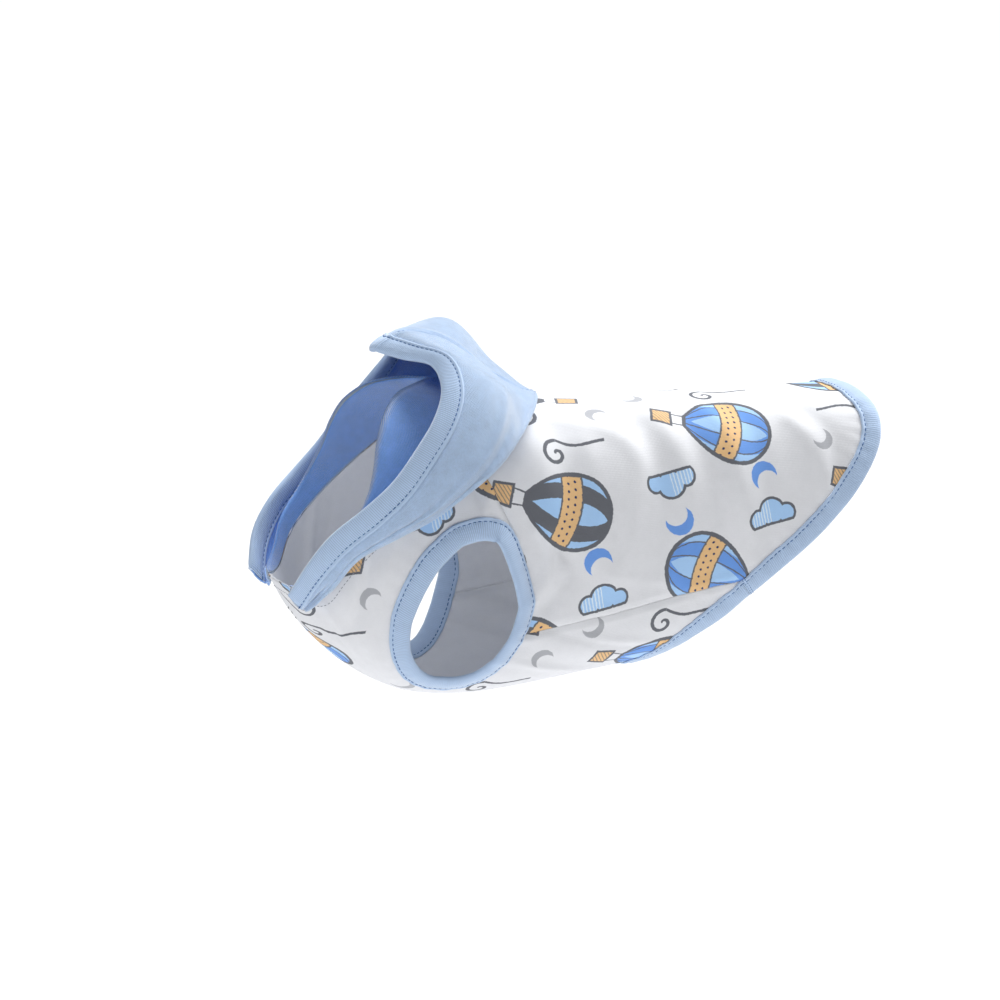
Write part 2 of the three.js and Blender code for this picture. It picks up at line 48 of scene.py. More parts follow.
# %% [markdown]
# ## Sizes and lines
# A garment is drafted from a few body sizes, and every seam is a line on the body. The girths give
# the body's form. A place on it is x millimetres toward the hem and a turn in degrees round from the
# top of the back. Writing seams in these two numbers keeps neighbouring panels together, because
# both panels read the same line.

# %% Sizes of the top
BACK_LENGTH = 180    # neck seam to hem along the top of the back
BODY_WIDTH = 98      # side to side at the widest girth
BODY_DEPTH = 128     # back to belly at the chest
HOOD_REACH = 50      # how far the fallen hood spreads from its neck seam
BAND = 10            # visible width of the folded ribbed binding
TURN = 2             # binding beyond the raw edge, where the strip folds over
CAD_CLOTH = 1.2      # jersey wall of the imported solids
WALL = 0.8           # jersey wall as made here, with the same outer face
GAP = 0.3            # clearance between neighbouring pieces
SQUARENESS = 0.035   # how far the girth leans from an oval toward a square
SHOULDER_TURN = 42   # where the shoulder seam leaves the neck seam
HOOD_START_TURN = 150  # where each hood half starts beside the throat
SIDE_SEAM_TURN = 117   # where the armhole meets the side seam
HEM_CORNER_TURN = 119  # where the side seam reaches the hem
WING = BAND - TURN     # stitched edge to raw edge
PROBE = 0.5            # half a step for slopes on the body, in millimetres or degrees
LINE_PROBE = 2         # half a step for the direction of a line on the body

# Girths: along (of BACK_LENGTH), top, bottom, widest (of BODY_DEPTH), side (of BODY_WIDTH)
GIRTHS = np.array([
    (-0.844, -0.047, -0.547, -0.313, 0.245), (-0.789, -0.008, -0.688, -0.359, 0.337),
    (-0.711, 0.023, -0.813, -0.406, 0.418), (-0.622, 0.031, -0.91, -0.445, 0.459),
    (-0.511, 0.031, -0.977, -0.477, 0.48), (-0.356, 0.016, -0.996, -0.484, 0.495),
    (-0.156, 0, -0.969, -0.477, 0.5), (0.044, 0, -0.93, -0.461, 0.49),
    (0.244, 0, -0.891, -0.438, 0.469), (0.444, 0, -0.859, -0.414, 0.454),
    (0.689, 0, -0.82, -0.398, 0.439)])

# Lines on the body: along (of BACK_LENGTH), turn in degrees
NECK_SEAM = [
    (-0.344, 0), (-0.358, 15), (-0.389, 30), (-0.428, 42), (-0.467, 50), (-0.533, 61),
    (-0.611, 74), (-0.678, 86), (-0.719, 95.5), (-0.747, 106), (-0.769, 119), (-0.794, 130),
    (-0.817, 144), (-0.831, 156), (-0.837, 168), (-0.839, 180)]
ARMHOLE = [  # stitched edge, from the shoulder seam forward, under and back up
    (-0.322, 80), (-0.34, 76.5), (-0.37, 74.5), (-0.403, 74), (-0.436, 74.8), (-0.478, 77),
    (-0.519, 82), (-0.556, 88), (-0.589, 97), (-0.612, 107), (-0.62, 115), (-0.616, 126),
    (-0.597, 136), (-0.561, 145.5), (-0.506, 151), (-0.444, 150), (-0.383, 143), (-0.339, 133.5),
    (-0.31, 124.5), (-0.291, 117), (-0.277, 110), (-0.273, 104), (-0.281, 98), (-0.294, 91.5),
    (-0.308, 85), (-0.322, 80)]
HEM = [  # free edge, from the top of the back to the middle of the belly
    (0.656, 0), (0.661, 9), (0.669, 22), (0.678, 36), (0.677, 47), (0.666, 57.5), (0.644, 66.5),
    (0.613, 75), (0.574, 83.5), (0.536, 90), (0.49, 97), (0.442, 103), (0.389, 109), (0.347, 114),
    (0.309, 119), (0.258, 127), (0.205, 135), (0.158, 143.5), (0.118, 153), (0.087, 164),
    (0.069, 173), (0.066, 180)]

# Folds: along, turn, lean in degrees, run and spread (of BACK_LENGTH), rise (of BODY_WIDTH)
FOLDS = np.array([
    (-0.235, 62, 8, 0.19, 0.045, 0.016), (-0.165, 78, 4, 0.2, 0.04, -0.013),
    (-0.06, 70, -6, 0.2, 0.055, 0.011), (0.09, 80, 6, 0.19, 0.06, -0.009),
    (0.26, 62, 12, 0.17, 0.055, 0.009), (0.42, 66, 16, 0.15, 0.05, -0.008),
    (-0.15, 128, 70, 0.22, 0.04, 0.01), (0.08, 112, 78, 0.2, 0.045, -0.009),
    (-0.665, 112, -22, 0.16, 0.03, -0.012), (-0.63, 140, 30, 0.13, 0.035, 0.01)])
print("a top", BACK_LENGTH, "mm long, from", len(GIRTHS), "girths and", len(FOLDS), "broad folds")

# %% The body's form and its folds
def smooth(places, values, x):
    """Cubic through a table's rows, with each row's slope from its neighbours."""
    last = len(places) - 1
    before, after = np.maximum(np.arange(last + 1) - 1, 0), np.minimum(np.arange(last + 1) + 1, last)
    slope = (values[after] - values[before]) / (places[after] - places[before])
    i = np.clip(np.searchsorted(places, x) - 1, 0, last - 1)
    step = places[i + 1] - places[i]
    t = (x - places[i]) / step
    return ((2 * t**3 - 3 * t**2 + 1) * values[i] + (t**3 - 2 * t**2 + t) * step * slope[i]
            + (3 * t**2 - 2 * t**3) * values[i + 1] + (t**3 - t**2) * step * slope[i + 1])


ALONGS = GIRTHS[:, 0] * BACK_LENGTH
TOPS, BOTTOMS, WIDESTS = (GIRTHS[:, 1:4] * BODY_DEPTH).T
SIDES = GIRTHS[:, 4] * BODY_WIDTH


def form(x, turn):
    """Point of the bare body; the wearer's left side is -Y."""
    x, turn = np.broadcast_arrays(np.asarray(x, float), np.asarray(turn, float))
    top, bottom, side, widest = (smooth(ALONGS, v, x) for v in (TOPS, BOTTOMS, SIDES, WIDESTS))
    r = np.radians(turn)
    across = (np.sin(r) + SQUARENESS * np.sin(3 * r)) / (1 - SQUARENESS)
    height = (np.cos(r) - SQUARENESS * np.cos(3 * r)) / (1 - SQUARENESS)
    reach = np.where(height > 0, top - widest, widest - bottom)
    return np.stack([x, -side * across, widest + reach * height + CAD_CLOTH], -1)


def unit(v):
    return v / np.linalg.norm(v, axis=-1, keepdims=True)


def running_length(points):
    """Length along a chain of points, from 0 at its start."""
    return np.concatenate([[0], np.cumsum(np.linalg.norm(np.diff(points, axis=0), axis=1))])


def body_slopes(x, turn):
    """How far a place on the body moves for one more millimetre of x, and for one more degree."""
    along = (form(x + PROBE, turn) - form(x - PROBE, turn)) / (2 * PROBE)
    round_it = (form(x, turn + PROBE) - form(x, turn - PROBE)) / (2 * PROBE)
    return along, round_it


def outward(x, turn):
    """Direction away from the body."""
    along, round_it = body_slopes(x, turn)
    return unit(np.cross(round_it, along))


def fold_height(table, x, turn):
    """Height of a table of soft folds at places on the body."""
    height = 0
    for along, middle, lean, run, spread, rise in table:
        dx, dt = x - along * BACK_LENGTH, turn - middle
        c, s = math.cos(math.radians(lean)), math.sin(math.radians(lean))
        across_it, along_it = (dx * c - dt * s) / spread, (dx * s + dt * c) / run
        height = height + rise * BODY_WIDTH * np.exp(-(across_it**2 + along_it**2) / BACK_LENGTH**2)
    return height


# %% The body unrolled, for the print
NET_STEP, NET_FROM, NET_TO = 3.0, -156.0, 132.0   # rows of the net, in millimetres of x


def measure_body():
    """Millimetres along from x = 0 and round from the top, on a net of places on the body."""
    xs, turns = np.arange(NET_FROM, NET_TO, NET_STEP), np.arange(0, 181.0)
    points = form(xs[:, None], turns[None, :])
    along, around = np.zeros(points.shape[:2]), np.zeros(points.shape[:2])
    along[1:] = np.cumsum(np.linalg.norm(np.diff(points, axis=0), axis=-1), 0)
    around[:, 1:] = np.cumsum(np.linalg.norm(np.diff(points, axis=1), axis=-1), 1)
    return np.stack([along - along[np.argmin(np.abs(xs))], around], -1)


NET = measure_body()


def flat_place(x, turn):
    """Where a place on the body lies on the flat printed cloth: millimetres along and round."""
    i = np.clip((x - NET_FROM) / NET_STEP, 0, len(NET) - 1.001)
    j = np.clip(turn, 0, 179.999)
    i0, j0 = i.astype(int), j.astype(int)
    u, v = (i - i0)[..., None], (j - j0)[..., None]
    return ((1 - u) * ((1 - v) * NET[i0, j0] + v * NET[i0, j0 + 1])
            + u * ((1 - v) * NET[i0 + 1, j0] + v * NET[i0 + 1, j0 + 1]))


print("girth at the chest:", round(float(2 * NET[:, -1, 1].max())), "mm")

# %% Lines on the body
LINE_STEPS = 12        # points of a line from one row of its table to the next
SEARCH_POINTS = 2001   # places looked at for a turn along a line
SEAM_POINTS = {"side": 60, "shoulder": 40}


def line(rows, loop=False):
    """Smooth line through the rows, with its running length."""
    p = np.array(rows, float) * (BACK_LENGTH, 1)
    last = len(p) - 1
    points = []
    for i in range(last):
        a = p[i - 1] if i else p[last - 1 if loop else 0]
        d = p[i + 2] if i + 2 <= last else p[1 if loop else last]
        t = np.arange(LINE_STEPS)[:, None] / LINE_STEPS
        points.append(catmull(a, p[i], p[i + 1], d, t))
    points = np.concatenate([*points, p[-1:]])
    steps = np.linalg.norm(np.diff(points, axis=0), axis=1)
    return {"points": points, "lengths": np.concatenate([[0], np.cumsum(steps)]),
            "total": steps.sum(), "loop": loop}


def catmull(a, b, c, d, t):
    """Smooth step from b to c, between a and d."""
    return 0.5 * (2 * b + (c - a) * t + (2 * a - 5 * b + 4 * c - d) * t**2
                  + (3 * b - a - 3 * c + d) * t**3)


def point_at(ln, length):
    """Places (x, turn) of a line at running lengths."""
    length = np.asarray(length, float)
    s = length % ln["total"] if ln["loop"] else np.clip(length, 0, ln["total"])
    return np.stack([np.interp(s, ln["lengths"], ln["points"][:, k]) for k in (0, 1)], -1)


def length_at_turn(ln, turn, start=0.0, end=1.0):
    """Running length at which a line reaches a turn, looking from one share of it to another."""
    s = ln["total"] * np.linspace(start, end, SEARCH_POINTS)
    return float(s[np.argmin(np.abs(point_at(ln, s)[:, 1] - turn))])


def beside(ln, length, distance):
    """Places a distance in millimetres beside a line, square to it."""
    length = np.asarray(length, float)
    here = point_at(ln, length)
    x, turn = here[..., 0], here[..., 1]
    per_mm, per_degree = (np.linalg.norm(slope, axis=-1) for slope in body_slopes(x, turn))
    run = point_at(ln, length + LINE_PROBE) - point_at(ln, length - LINE_PROBE)
    dx, dt = run[..., 0] * per_mm, run[..., 1] * per_degree
    if not ln["loop"]:
        dx = np.where((length <= 0) | (length >= ln["total"]), 0, dx)
    size = np.hypot(dx, dt)
    return np.stack([x - distance * dt / size / per_mm,
                     turn + distance * dx / size / per_degree], -1)


neck, arm, hem = line(NECK_SEAM), line(ARMHOLE, loop=True), line(HEM)
shoulder_on_neck = length_at_turn(neck, SHOULDER_TURN)
side_on_arm = length_at_turn(arm, SIDE_SEAM_TURN, 0.6, 0.9)
side_on_hem = length_at_turn(hem, HEM_CORNER_TURN)
side_seam = np.linspace(point_at(arm, side_on_arm), beside(hem, side_on_hem, BAND),
                        SEAM_POINTS["side"])
shoulder_seam = np.linspace(point_at(neck, shoulder_on_neck), point_at(arm, 0),
                            SEAM_POINTS["shoulder"])
for name, ln in (("neck seam", neck), ("armhole", arm), ("hem", hem)):
    print(name + ":", round(running_length(form(*ln["points"].T))[-1]), "mm on one side")

# %% [markdown]
# ## Cloth surface
# Worn jersey is a thin skin that follows the body, with shallow ripples round the trunk, a soft
# valley along every seam where the allowance pulls the cloth in, and small puckers where a binding
# gathers the edge. A cloth simulation could find such ripples, but not these ones. So each is a row
# of a table or a short rule, added along the outward direction, and a change of size moves them all.

# %% Fine folds, seam valleys and puckers
RIPPLES = [  # rise and half width in millimetres, then places (along, turn) from top to bottom
    (1.5, 3.2, [(-0.256, 79.5), (-0.231, 85.5), (-0.236, 95.5), (-0.269, 103)]),
    (-1.7, 4.0, [(-0.2, 88.5), (-0.172, 94.5), (-0.206, 102.5), (-0.231, 107)]),
    (0.6, 5.0, [(-0.117, 42.5), (-0.106, 62), (-0.103, 78), (-0.125, 92)]),
    (-0.7, 4.5, [(-0.1, 70.5), (-0.058, 82.5), (-0.061, 90.5)]),
    (1.0, 5.0, [(-0.211, 24.5), (-0.125, 31.5), (-0.031, 41.5), (0.011, 57), (-0.008, 74.5),
                (-0.031, 89), (-0.075, 102)]),
    (-1.0, 6.0, [(0.036, 37), (0.061, 54), (0.072, 73), (0.069, 89), (0.031, 101.5)]),
    (0.9, 5.0, [(0.064, 21), (0.094, 38.5), (0.131, 62), (0.136, 77.5), (0.122, 86), (0.1, 101)]),
    (-0.9, 5.0, [(0.147, 28), (0.172, 48.5), (0.197, 67.5), (0.219, 84.5), (0.225, 96.5),
                 (0.203, 106)]),
    (0.9, 4.5, [(0.208, 25), (0.25, 42), (0.267, 65), (0.292, 83.5), (0.308, 97.5), (0.267, 110.5)]),
    (-0.7, 5.0, [(0.303, 32.5), (0.328, 47), (0.339, 71), (0.35, 88), (0.342, 98.5)]),
    (0.9, 4.5, [(0.433, 40), (0.475, 53.5), (0.5, 67), (0.511, 79)]),
    (-0.9, 5.0, [(0.486, 36), (0.531, 50.5), (0.539, 65.5), (0.542, 77)])]
FINE_FOLDS = np.array([  # along, turn, lean, run, spread, rise
    (-0.2, 140, 62, 0.2, 0.014, 0.01), (-0.16, 122, 66, 0.2, 0.013, -0.009),
    (-0.06, 128, 72, 0.16, 0.014, 0.008), (0.05, 104, 76, 0.14, 0.014, 0.006),
    (-0.68, 104, -10, 0.13, 0.012, -0.012), (-0.64, 100, -16, 0.12, 0.013, 0.008),
    (-0.72, 138, 30, 0.12, 0.018, 0.008), (-0.67, 150, 55, 0.12, 0.016, -0.007),
    (-0.42, 60, 20, 0.08, 0.014, -0.008), (-0.38, 66, -20, 0.07, 0.012, 0.007)])
SEAM_DIP, SEAM_REACH = 0.55, 1.5       # valley along a seam
SEAM_SWELL, SEAM_SIDE = 0.22, 3.4      # soft rise beside it
SEAM_WAVES = ((0.25, 2.3, 0), (0.2, 5.1, 1))         # share, length and start of its unevenness
PUCKER, PUCKER_PITCH, PUCKER_FADE = 0.16, 7.5, 5.0   # height, spacing and reach from the edge
PUCKER_DRIFT, DRIFT_RUN = 1.3, 9       # how far the spacing wanders, and over what length
EDGE_POINTS = {"armhole": 260, "hem": 300, "neck": 200}
AT_ONCE = 4000                         # places compared with a line at once, to spare memory


def nearest(places, ln):
    """Millimetres from places on the body to a line of places, and how far along it that is."""
    points, targets = form(*np.moveaxis(places, -1, 0)), form(*np.asarray(ln).T)
    shape = points.shape[:-1]
    points = points.reshape(-1, 3)
    run = running_length(targets)
    away, along = np.empty(len(points)), np.empty(len(points))
    for k in range(0, len(points), AT_ONCE):
        some = slice(k, k + AT_ONCE)
        d = np.linalg.norm(points[some, None] - targets[None], axis=-1)
        away[some], along[some] = d.min(1), run[d.argmin(1)]
    return away.reshape(shape), along.reshape(shape)


def uneven(along, waves):
    """A factor round 1 that wavers along a line, from each wave's share, length and start."""
    factor = 1
    for share, length, start in waves:
        factor = factor + share * np.sin(along / length + start)
    return factor


arm_edge = point_at(arm, np.linspace(0, arm["total"], EDGE_POINTS["armhole"]))
hem_edge = beside(hem, np.linspace(0, hem["total"], EDGE_POINTS["hem"]), BAND)
neck_edge = point_at(neck, np.linspace(0, neck["total"], EDGE_POINTS["neck"]))


def surface(places):
    """Height of the cloth's outer face over the bare form."""
    x, turn = places[..., 0], places[..., 1]
    height = fold_height(FOLDS, x, turn) + fold_height(FINE_FOLDS, x, turn)
    for rise, half_width, rows in RIPPLES:
        height = height + rise * np.exp(-(nearest(places, line(rows)["points"])[0] / half_width)**2)
    for seam in (side_seam, shoulder_seam):
        away, along = nearest(places, seam)
        waver = uneven(along, SEAM_WAVES)
        height = height - SEAM_DIP * waver * np.exp(-(away / SEAM_REACH)**2)
        height = height + SEAM_SWELL * waver * np.exp(-((away - SEAM_SIDE) / SEAM_REACH)**2)
    for k, edge in enumerate((arm_edge, hem_edge, neck_edge)):
        away, along = nearest(places, edge)
        phase = 2 * math.pi * along / PUCKER_PITCH + PUCKER_DRIFT * np.sin(along / DRIFT_RUN + k)
        height = height + PUCKER * np.sin(phase) * np.exp(-away / PUCKER_FADE)
    return height


def on_body(places, lift=0.0, fine=True):
    """Knots of cloth: the middle of the wall and the direction through it."""
    x, turn = places[..., 0], places[..., 1]
    through = outward(x, turn)
    height = surface(places) if fine else fold_height(FOLDS, x, turn)
    height = np.asarray(height - WALL / 2 + lift)
    return form(x, turn) + through * height[..., None], through


print(len(RIPPLES), "ripples and", len(FINE_FOLDS), "fine folds")

# %% Edge of the armhole
# How far it leans off the body: share of the armhole's line, degrees
ARM_LEAN = np.array([(0, 24), (0.04, 8), (0.1, 0), (0.6, 0), (0.72, 20), (0.82, 34), (0.93, 36),
                     (1, 24)])


def arm_wing(run, share):
    """Knots of the armhole's edge, at shares of the way from its stitched edge to its raw edge."""
    (edge, through), (raw, _) = on_body(point_at(arm, run)), on_body(beside(arm, run, -WING))
    lean = np.radians(np.interp(run / arm["total"], *ARM_LEAN.T))[:, None]
    across = raw - edge
    width = np.linalg.norm(across, axis=-1, keepdims=True)
    leaning = across * np.cos(lean) + through * width * np.sin(lean)
    through = through * np.cos(lean) - across / width * np.sin(lean)
    share = np.asarray(share, float)[None, :, None]
    return (edge[:, None] + leaning[:, None] * share,
            np.broadcast_to(through[:, None], (len(run), share.shape[1], 3)))


# %% Turning grids of knots into cloth
SAME_PLACE = 0.01      # knots closer than this, in millimetres, are one knot


def mirror(points):
    return points * (1, -1, 1)


class Cloth:
    """A sheet built from grids of knots, which share the knots that coincide."""

    def __init__(self):
        self.at, self.through, self.faces, self.flat, self.count = [], [], [], [], 0

    def grid(self, at, through, flat, flip=False):
        rows, columns = at.shape[:2]
        ids = np.arange(rows * columns).reshape(rows, columns) + self.count
        quads = np.stack([ids[:-1, :-1], ids[1:, :-1], ids[1:, 1:], ids[:-1, 1:]], -1).reshape(-1, 4)
        if flip:
            quads = quads[:, ::-1]
        self.at.append(at.reshape(-1, 3))
        self.through.append(through.reshape(-1, 3))
        self.flat.append(flat.reshape(-1, 2))
        self.faces.append(quads)
        self.count += rows * columns

    def both_sides(self, at, through, flat):
        """The same grid on the left and, mirrored, on the right."""
        self.grid(at, through, flat)
        self.grid(mirror(at), mirror(through), flat * (1, -1), flip=True)

    def wall(self, name, thickness):
        """Closed wall, with its place on the flat cloth as UV and its inner face marked."""
        at, through = np.concatenate(self.at), np.concatenate(self.through)
        flat, corners = np.concatenate(self.flat), np.concatenate(self.faces)
        _, first, joined = np.unique(np.round(at / SAME_PLACE) + 0.0, axis=0, return_index=True,
                                     return_inverse=True)
        joined = joined.reshape(-1)
        at, through, count = at[first], through[first], len(first)
        faces = joined[corners]
        edges = np.stack([faces, np.roll(faces, -1, 1)], -1).reshape(-1, 2)
        places = np.stack([corners, np.roll(corners, -1, 1)], -1).reshape(-1, 2)
        key = edges.min(1) * count + edges.max(1)
        _, index, uses = np.unique(key, return_index=True, return_counts=True)
        rim = index[uses == 1]
        rim = rim[edges[rim, 0] != edges[rim, 1]]
        p, q = edges[rim].T
        sides = np.stack([q, p, p + count, q + count], 1)
        points = np.concatenate([at + through * thickness / 2, at - through * thickness / 2])
        quads = np.concatenate([faces, faces[:, ::-1] + count, sides])
        flat = np.concatenate([flat[corners], flat[corners][:, ::-1],
                               flat[places[rim]][:, [1, 0, 0, 1]]])
        piece = mesh_piece(name, points, quads, flat)
        inner = np.repeat([0.0, 1.0], count)
        piece.data.attributes.new("inner", "FLOAT", "POINT").data.foreach_set("value", inner)
        return piece


def new_object(name, data):
    """Object at the origin, in the scene."""
    made = bpy.data.objects.new(name, data)
    bpy.context.scene.collection.objects.link(made)
    return made


def mesh_piece(name, points, quads, flat, caps=()):
    """Object with a smooth mesh, from millimetres, its faces turned outwards. Flat is the place of
    each quad's corners on the flat cloth, kept as UV; caps close the ends."""
    a, b, c, d = (points[quads[:, k]] for k in range(4))
    if (a * (np.cross(b, c) + np.cross(c, d))).sum() < 0:
        quads, flat, caps = quads[:, ::-1], flat[:, ::-1], [cap[::-1] for cap in caps]
    mesh = bpy.data.meshes.new(name)
    mesh.from_pydata((points * MM).tolist(), [], quads.tolist() + list(caps))
    mesh.shade_smooth()
    uvs = np.concatenate([flat.reshape(-1, 2), np.zeros((sum(map(len, caps)), 2))])
    mesh.uv_layers.new(name="cloth").uv.foreach_set("vector", (uvs * MM).astype(np.float32).ravel())
    return new_object(name, mesh)


# %% [markdown]
# ## Back and chest panels
# The back is one piece of cloth from side seam to side seam. The chest runs from the throat under the
# forelegs to the belly hem, with a strap up each side to the shoulder seam. Both are lofted grids:
# the back from its front edge to the hem, the chest round the armhole and out to the neck, the middle
# and the hem. Each is made for the left and mirrored, and the shared middle is joined.

# %% Back panel
def spans(stops, counts):
    """Running lengths from stop to stop, divided as counts say."""
    parts = [np.linspace(a, b, n + 1)[:-1] for a, b, n in zip(stops, stops[1:], counts)]
    return np.concatenate([*parts, stops[-1:]])


BACK_FINE = {"neck": 38, "shoulder": 30, "armhole": 26, "along": 118}
UNDER_BAND = 4         # steps of the cloth under a binding
arm_rear = np.linspace(arm["total"], side_on_arm, BACK_FINE["armhole"] + 1)
back_front = np.concatenate([
    point_at(neck, np.linspace(0, shoulder_on_neck, BACK_FINE["neck"] + 1)),
    np.linspace(point_at(neck, shoulder_on_neck), point_at(arm, arm_rear[0]),
                BACK_FINE["shoulder"] + 1)[1:-1],
    point_at(arm, arm_rear)])
back_hem = np.linspace(0, side_on_hem, len(back_front))


def loft(start, end, count):
    """Grid of places from one edge to the other."""
    t = np.linspace(0, 1, count + 1)[None, :, None]
    return start[:, None] * (1 - t) + end[:, None] * t


back = Cloth()
under_hem = loft(beside(hem, back_hem, BAND), beside(hem, back_hem, TURN), UNDER_BAND)
back_places = np.concatenate([loft(back_front, beside(hem, back_hem, BAND), BACK_FINE["along"]),
                              under_hem[:, 1:]], axis=1)
back.both_sides(*on_body(back_places), flat_place(*np.moveaxis(back_places, -1, 0)))
WING_SHARES = np.linspace(1, 0, UNDER_BAND + 1)
wing = loft(beside(arm, arm_rear, -WING), point_at(arm, arm_rear), UNDER_BAND)
back.both_sides(*arm_wing(arm_rear, WING_SHARES), flat_place(*np.moveaxis(wing, -1, 0)))
back_panel = back.wall("back_panel_cloth", WALL)
print("back panel:", len(back_panel.data.polygons), "faces")

# %% Chest panel
CHEST_FINE = {"neck": 96, "middle": 84, "hem": 56, "out": 64}
CHEST_FLAT = np.array((31.0, 23.0))   # the chest is cut from another part of the print
CHEST_STOPS = (0.49, 0.685)           # shares of the armhole that face the throat and the belly hem
arm_front = spans([0.0, *(arm["total"] * stop for stop in CHEST_STOPS), side_on_arm],
                  [CHEST_FINE["neck"], CHEST_FINE["middle"], CHEST_FINE["hem"]])
belly_hem = np.linspace(hem["total"], side_on_hem, CHEST_FINE["hem"] + 1)
middle_ends = point_at(neck, neck["total"]), beside(hem, hem["total"], BAND)
chest_outer = np.concatenate([
    point_at(neck, np.linspace(shoulder_on_neck, neck["total"], CHEST_FINE["neck"] + 1)),
    np.linspace(*middle_ends, CHEST_FINE["middle"] + 1)[1:-1],
    beside(hem, belly_hem, BAND)])
chest = Cloth()
wing = loft(beside(arm, arm_front, -WING), point_at(arm, arm_front), UNDER_BAND)
under_hem = loft(beside(hem, belly_hem, BAND), beside(hem, belly_hem, TURN), UNDER_BAND)
for places, knots in ((loft(point_at(arm, arm_front), chest_outer, CHEST_FINE["out"]), None),
                      (wing, arm_wing(arm_front, WING_SHARES)),
                      (under_hem, None)):
    flat = flat_place(*np.moveaxis(places, -1, 0)) + CHEST_FLAT
    chest.both_sides(*(knots or on_body(places)), flat)
chest_panel = chest.wall("chest_panel_cloth", WALL)
print("chest panel:", len(chest_panel.data.polygons), "faces")

# %% [markdown]
# ## Hood
# The hood is two mirrored halves, sewn along the crown and to the neck seam. Pushed down, each half
# leans out from the neck, rolls over at the fold and comes back up to the bound face edge. Its shape
# is a table of cross rows round the neck: each row is a smooth run through a few key points, and the
# rows are joined smoothly into one surface. A simulated drape would not keep the photographed form.

# %% Rows of the hood
# place (share of the hood's neck seam), ridge, fold and edge as (out, up, on) shares of HOOD_REACH,
# then how far low, middle and high lift the outer layer off the straight line from fold to edge
HOOD_ROWS = [
    (0, (-0.07, 0.01, 0.13), (0.06, 0.05, 0.29), (-0.15, 0.15, 0.24), (0.03, 0.03, 0.01)),
    (0.16, (-0.15, 0, 0.06), (-0.02, 0.07, 0.2), (-0.33, 0.16, 0.15), (0.03, 0.03, 0.02)),
    (0.31, (-0.17, 0, 0.02), (0.06, 0.12, 0.13), (-0.25, 0.17, 0.15), (0.04, 0.04, 0.02)),
    (0.44, (-0.2, 0, -0.1), (0.13, 0.17, 0.03), (-0.25, 0.2, 0.02), (0.05, 0.05, 0.03)),
    (0.54, (-0.27, -0.02, -0.24), (0.23, 0.22, -0.03), (-0.24, 0.25, -0.06), (0.06, 0.07, 0.04)),
    (0.62, (-0.38, -0.04, -0.32), (0.31, 0.24, 0.02), (-0.26, 0.32, -0.08), (0.08, 0.1, 0.05)),
    (0.69, (-0.53, -0.02, -0.35), (0.37, 0.21, 0.1), (-0.29, 0.39, -0.03), (0.1, 0.14, 0.07)),
    (0.77, (-0.68, 0.04, -0.26), (0.42, 0.15, 0.09), (-0.33, 0.43, -0.03), (0.15, 0.21, 0.11)),
    (0.85, (-0.68, 0.12, -0.12), (0.48, 0.1, 0.06), (-0.44, 0.44, -0.06), (0.2, 0.3, 0.18)),
    (0.925, (-0.52, 0.17, -0.03), (0.55, 0.07, 0.06), (-0.69, 0.4, -0.11), (0.24, 0.4, 0.26)),
    (1, (-0.36, 0.18, 0), (0.62, 0.06, 0), (-0.93, 0.42, 0), (0.04, 0.24, 0.25))]
SLACK_CLEAR = 2.2     # least clearance of the lower layer over the panel
SLACK_SHARE = 0.55    # how much of its straight height the middle of the lower layer keeps
LIFT_PLACES = (0.2, 0.5, 0.8)   # low, middle and high, as shares of the way from fold to edge
NECK_PROBE = 1.5      # half a step along the neck seam, for its direction
hood_from = length_at_turn(neck, HOOD_START_TURN)


def neck_frame(place):
    """Origin on the neck seam and its out, up and on directions."""
    s = hood_from * (1 - place)
    at = point_at(neck, s)
    ahead = point_at(neck, max(s - NECK_PROBE, 0))
    behind = point_at(neck, min(s + NECK_PROBE, neck["total"]))
    on = np.array((0.0, 1.0, 0.0)) if place == 1 else unit(form(*ahead) - form(*behind))
    up = outward(*at)
    out = unit(np.cross(up, on))
    return form(*at), out if out[0] > 0 else -out, up, on


def hood_keys(place, ridge, fold, edge, lifts):
    """Eight points of one row, from the neck seam to the face edge."""
    origin, *axes = neck_frame(place)
    axes = np.array(axes)
    ridge, fold, edge = (origin + np.array(p) * HOOD_REACH @ axes for p in (ridge, fold, edge))
    sewn = origin - axes[0] * (GAP + CAD_CLOTH / 2) - axes[1] * CAD_CLOTH / 2
    under = (ridge + fold) / 2
    clear = (under - origin) @ axes[1]
    under = under + axes[1] * (max(SLACK_CLEAR, clear * SLACK_SHARE) - clear)
    over = [fold + (edge - fold) * t + axes[1] * lift * HOOD_REACH
            for t, lift in zip(LIFT_PLACES, lifts)]
    return [sewn, ridge, under, fold, *over, edge]


def run_through(points, t):
    """Smooth run through points at shares t of their number."""
    last = len(points) - 1
    i = np.minimum(np.floor(np.asarray(t) * last).astype(int), last - 1)
    u = np.asarray(t * last - i).reshape(np.shape(t) + (1,) * (points.ndim - 1))
    return catmull(points[np.maximum(i - 1, 0)], points[i], points[i + 1],
                   points[np.minimum(i + 2, last)], u)


HOOD_FINE = {"round": 150, "collar": 12, "under": 20, "outer": 52, "band": 5}
FOLD_COLUMN = HOOD_FINE["collar"] + HOOD_FINE["under"]
HOOD_KEYS = np.array([hood_keys(*row) for row in HOOD_ROWS])
RUN_STEPS, RIDGE_STEP, FOLD_STEP = 140, 20, 60   # samples of a row, and where two keys fall in them


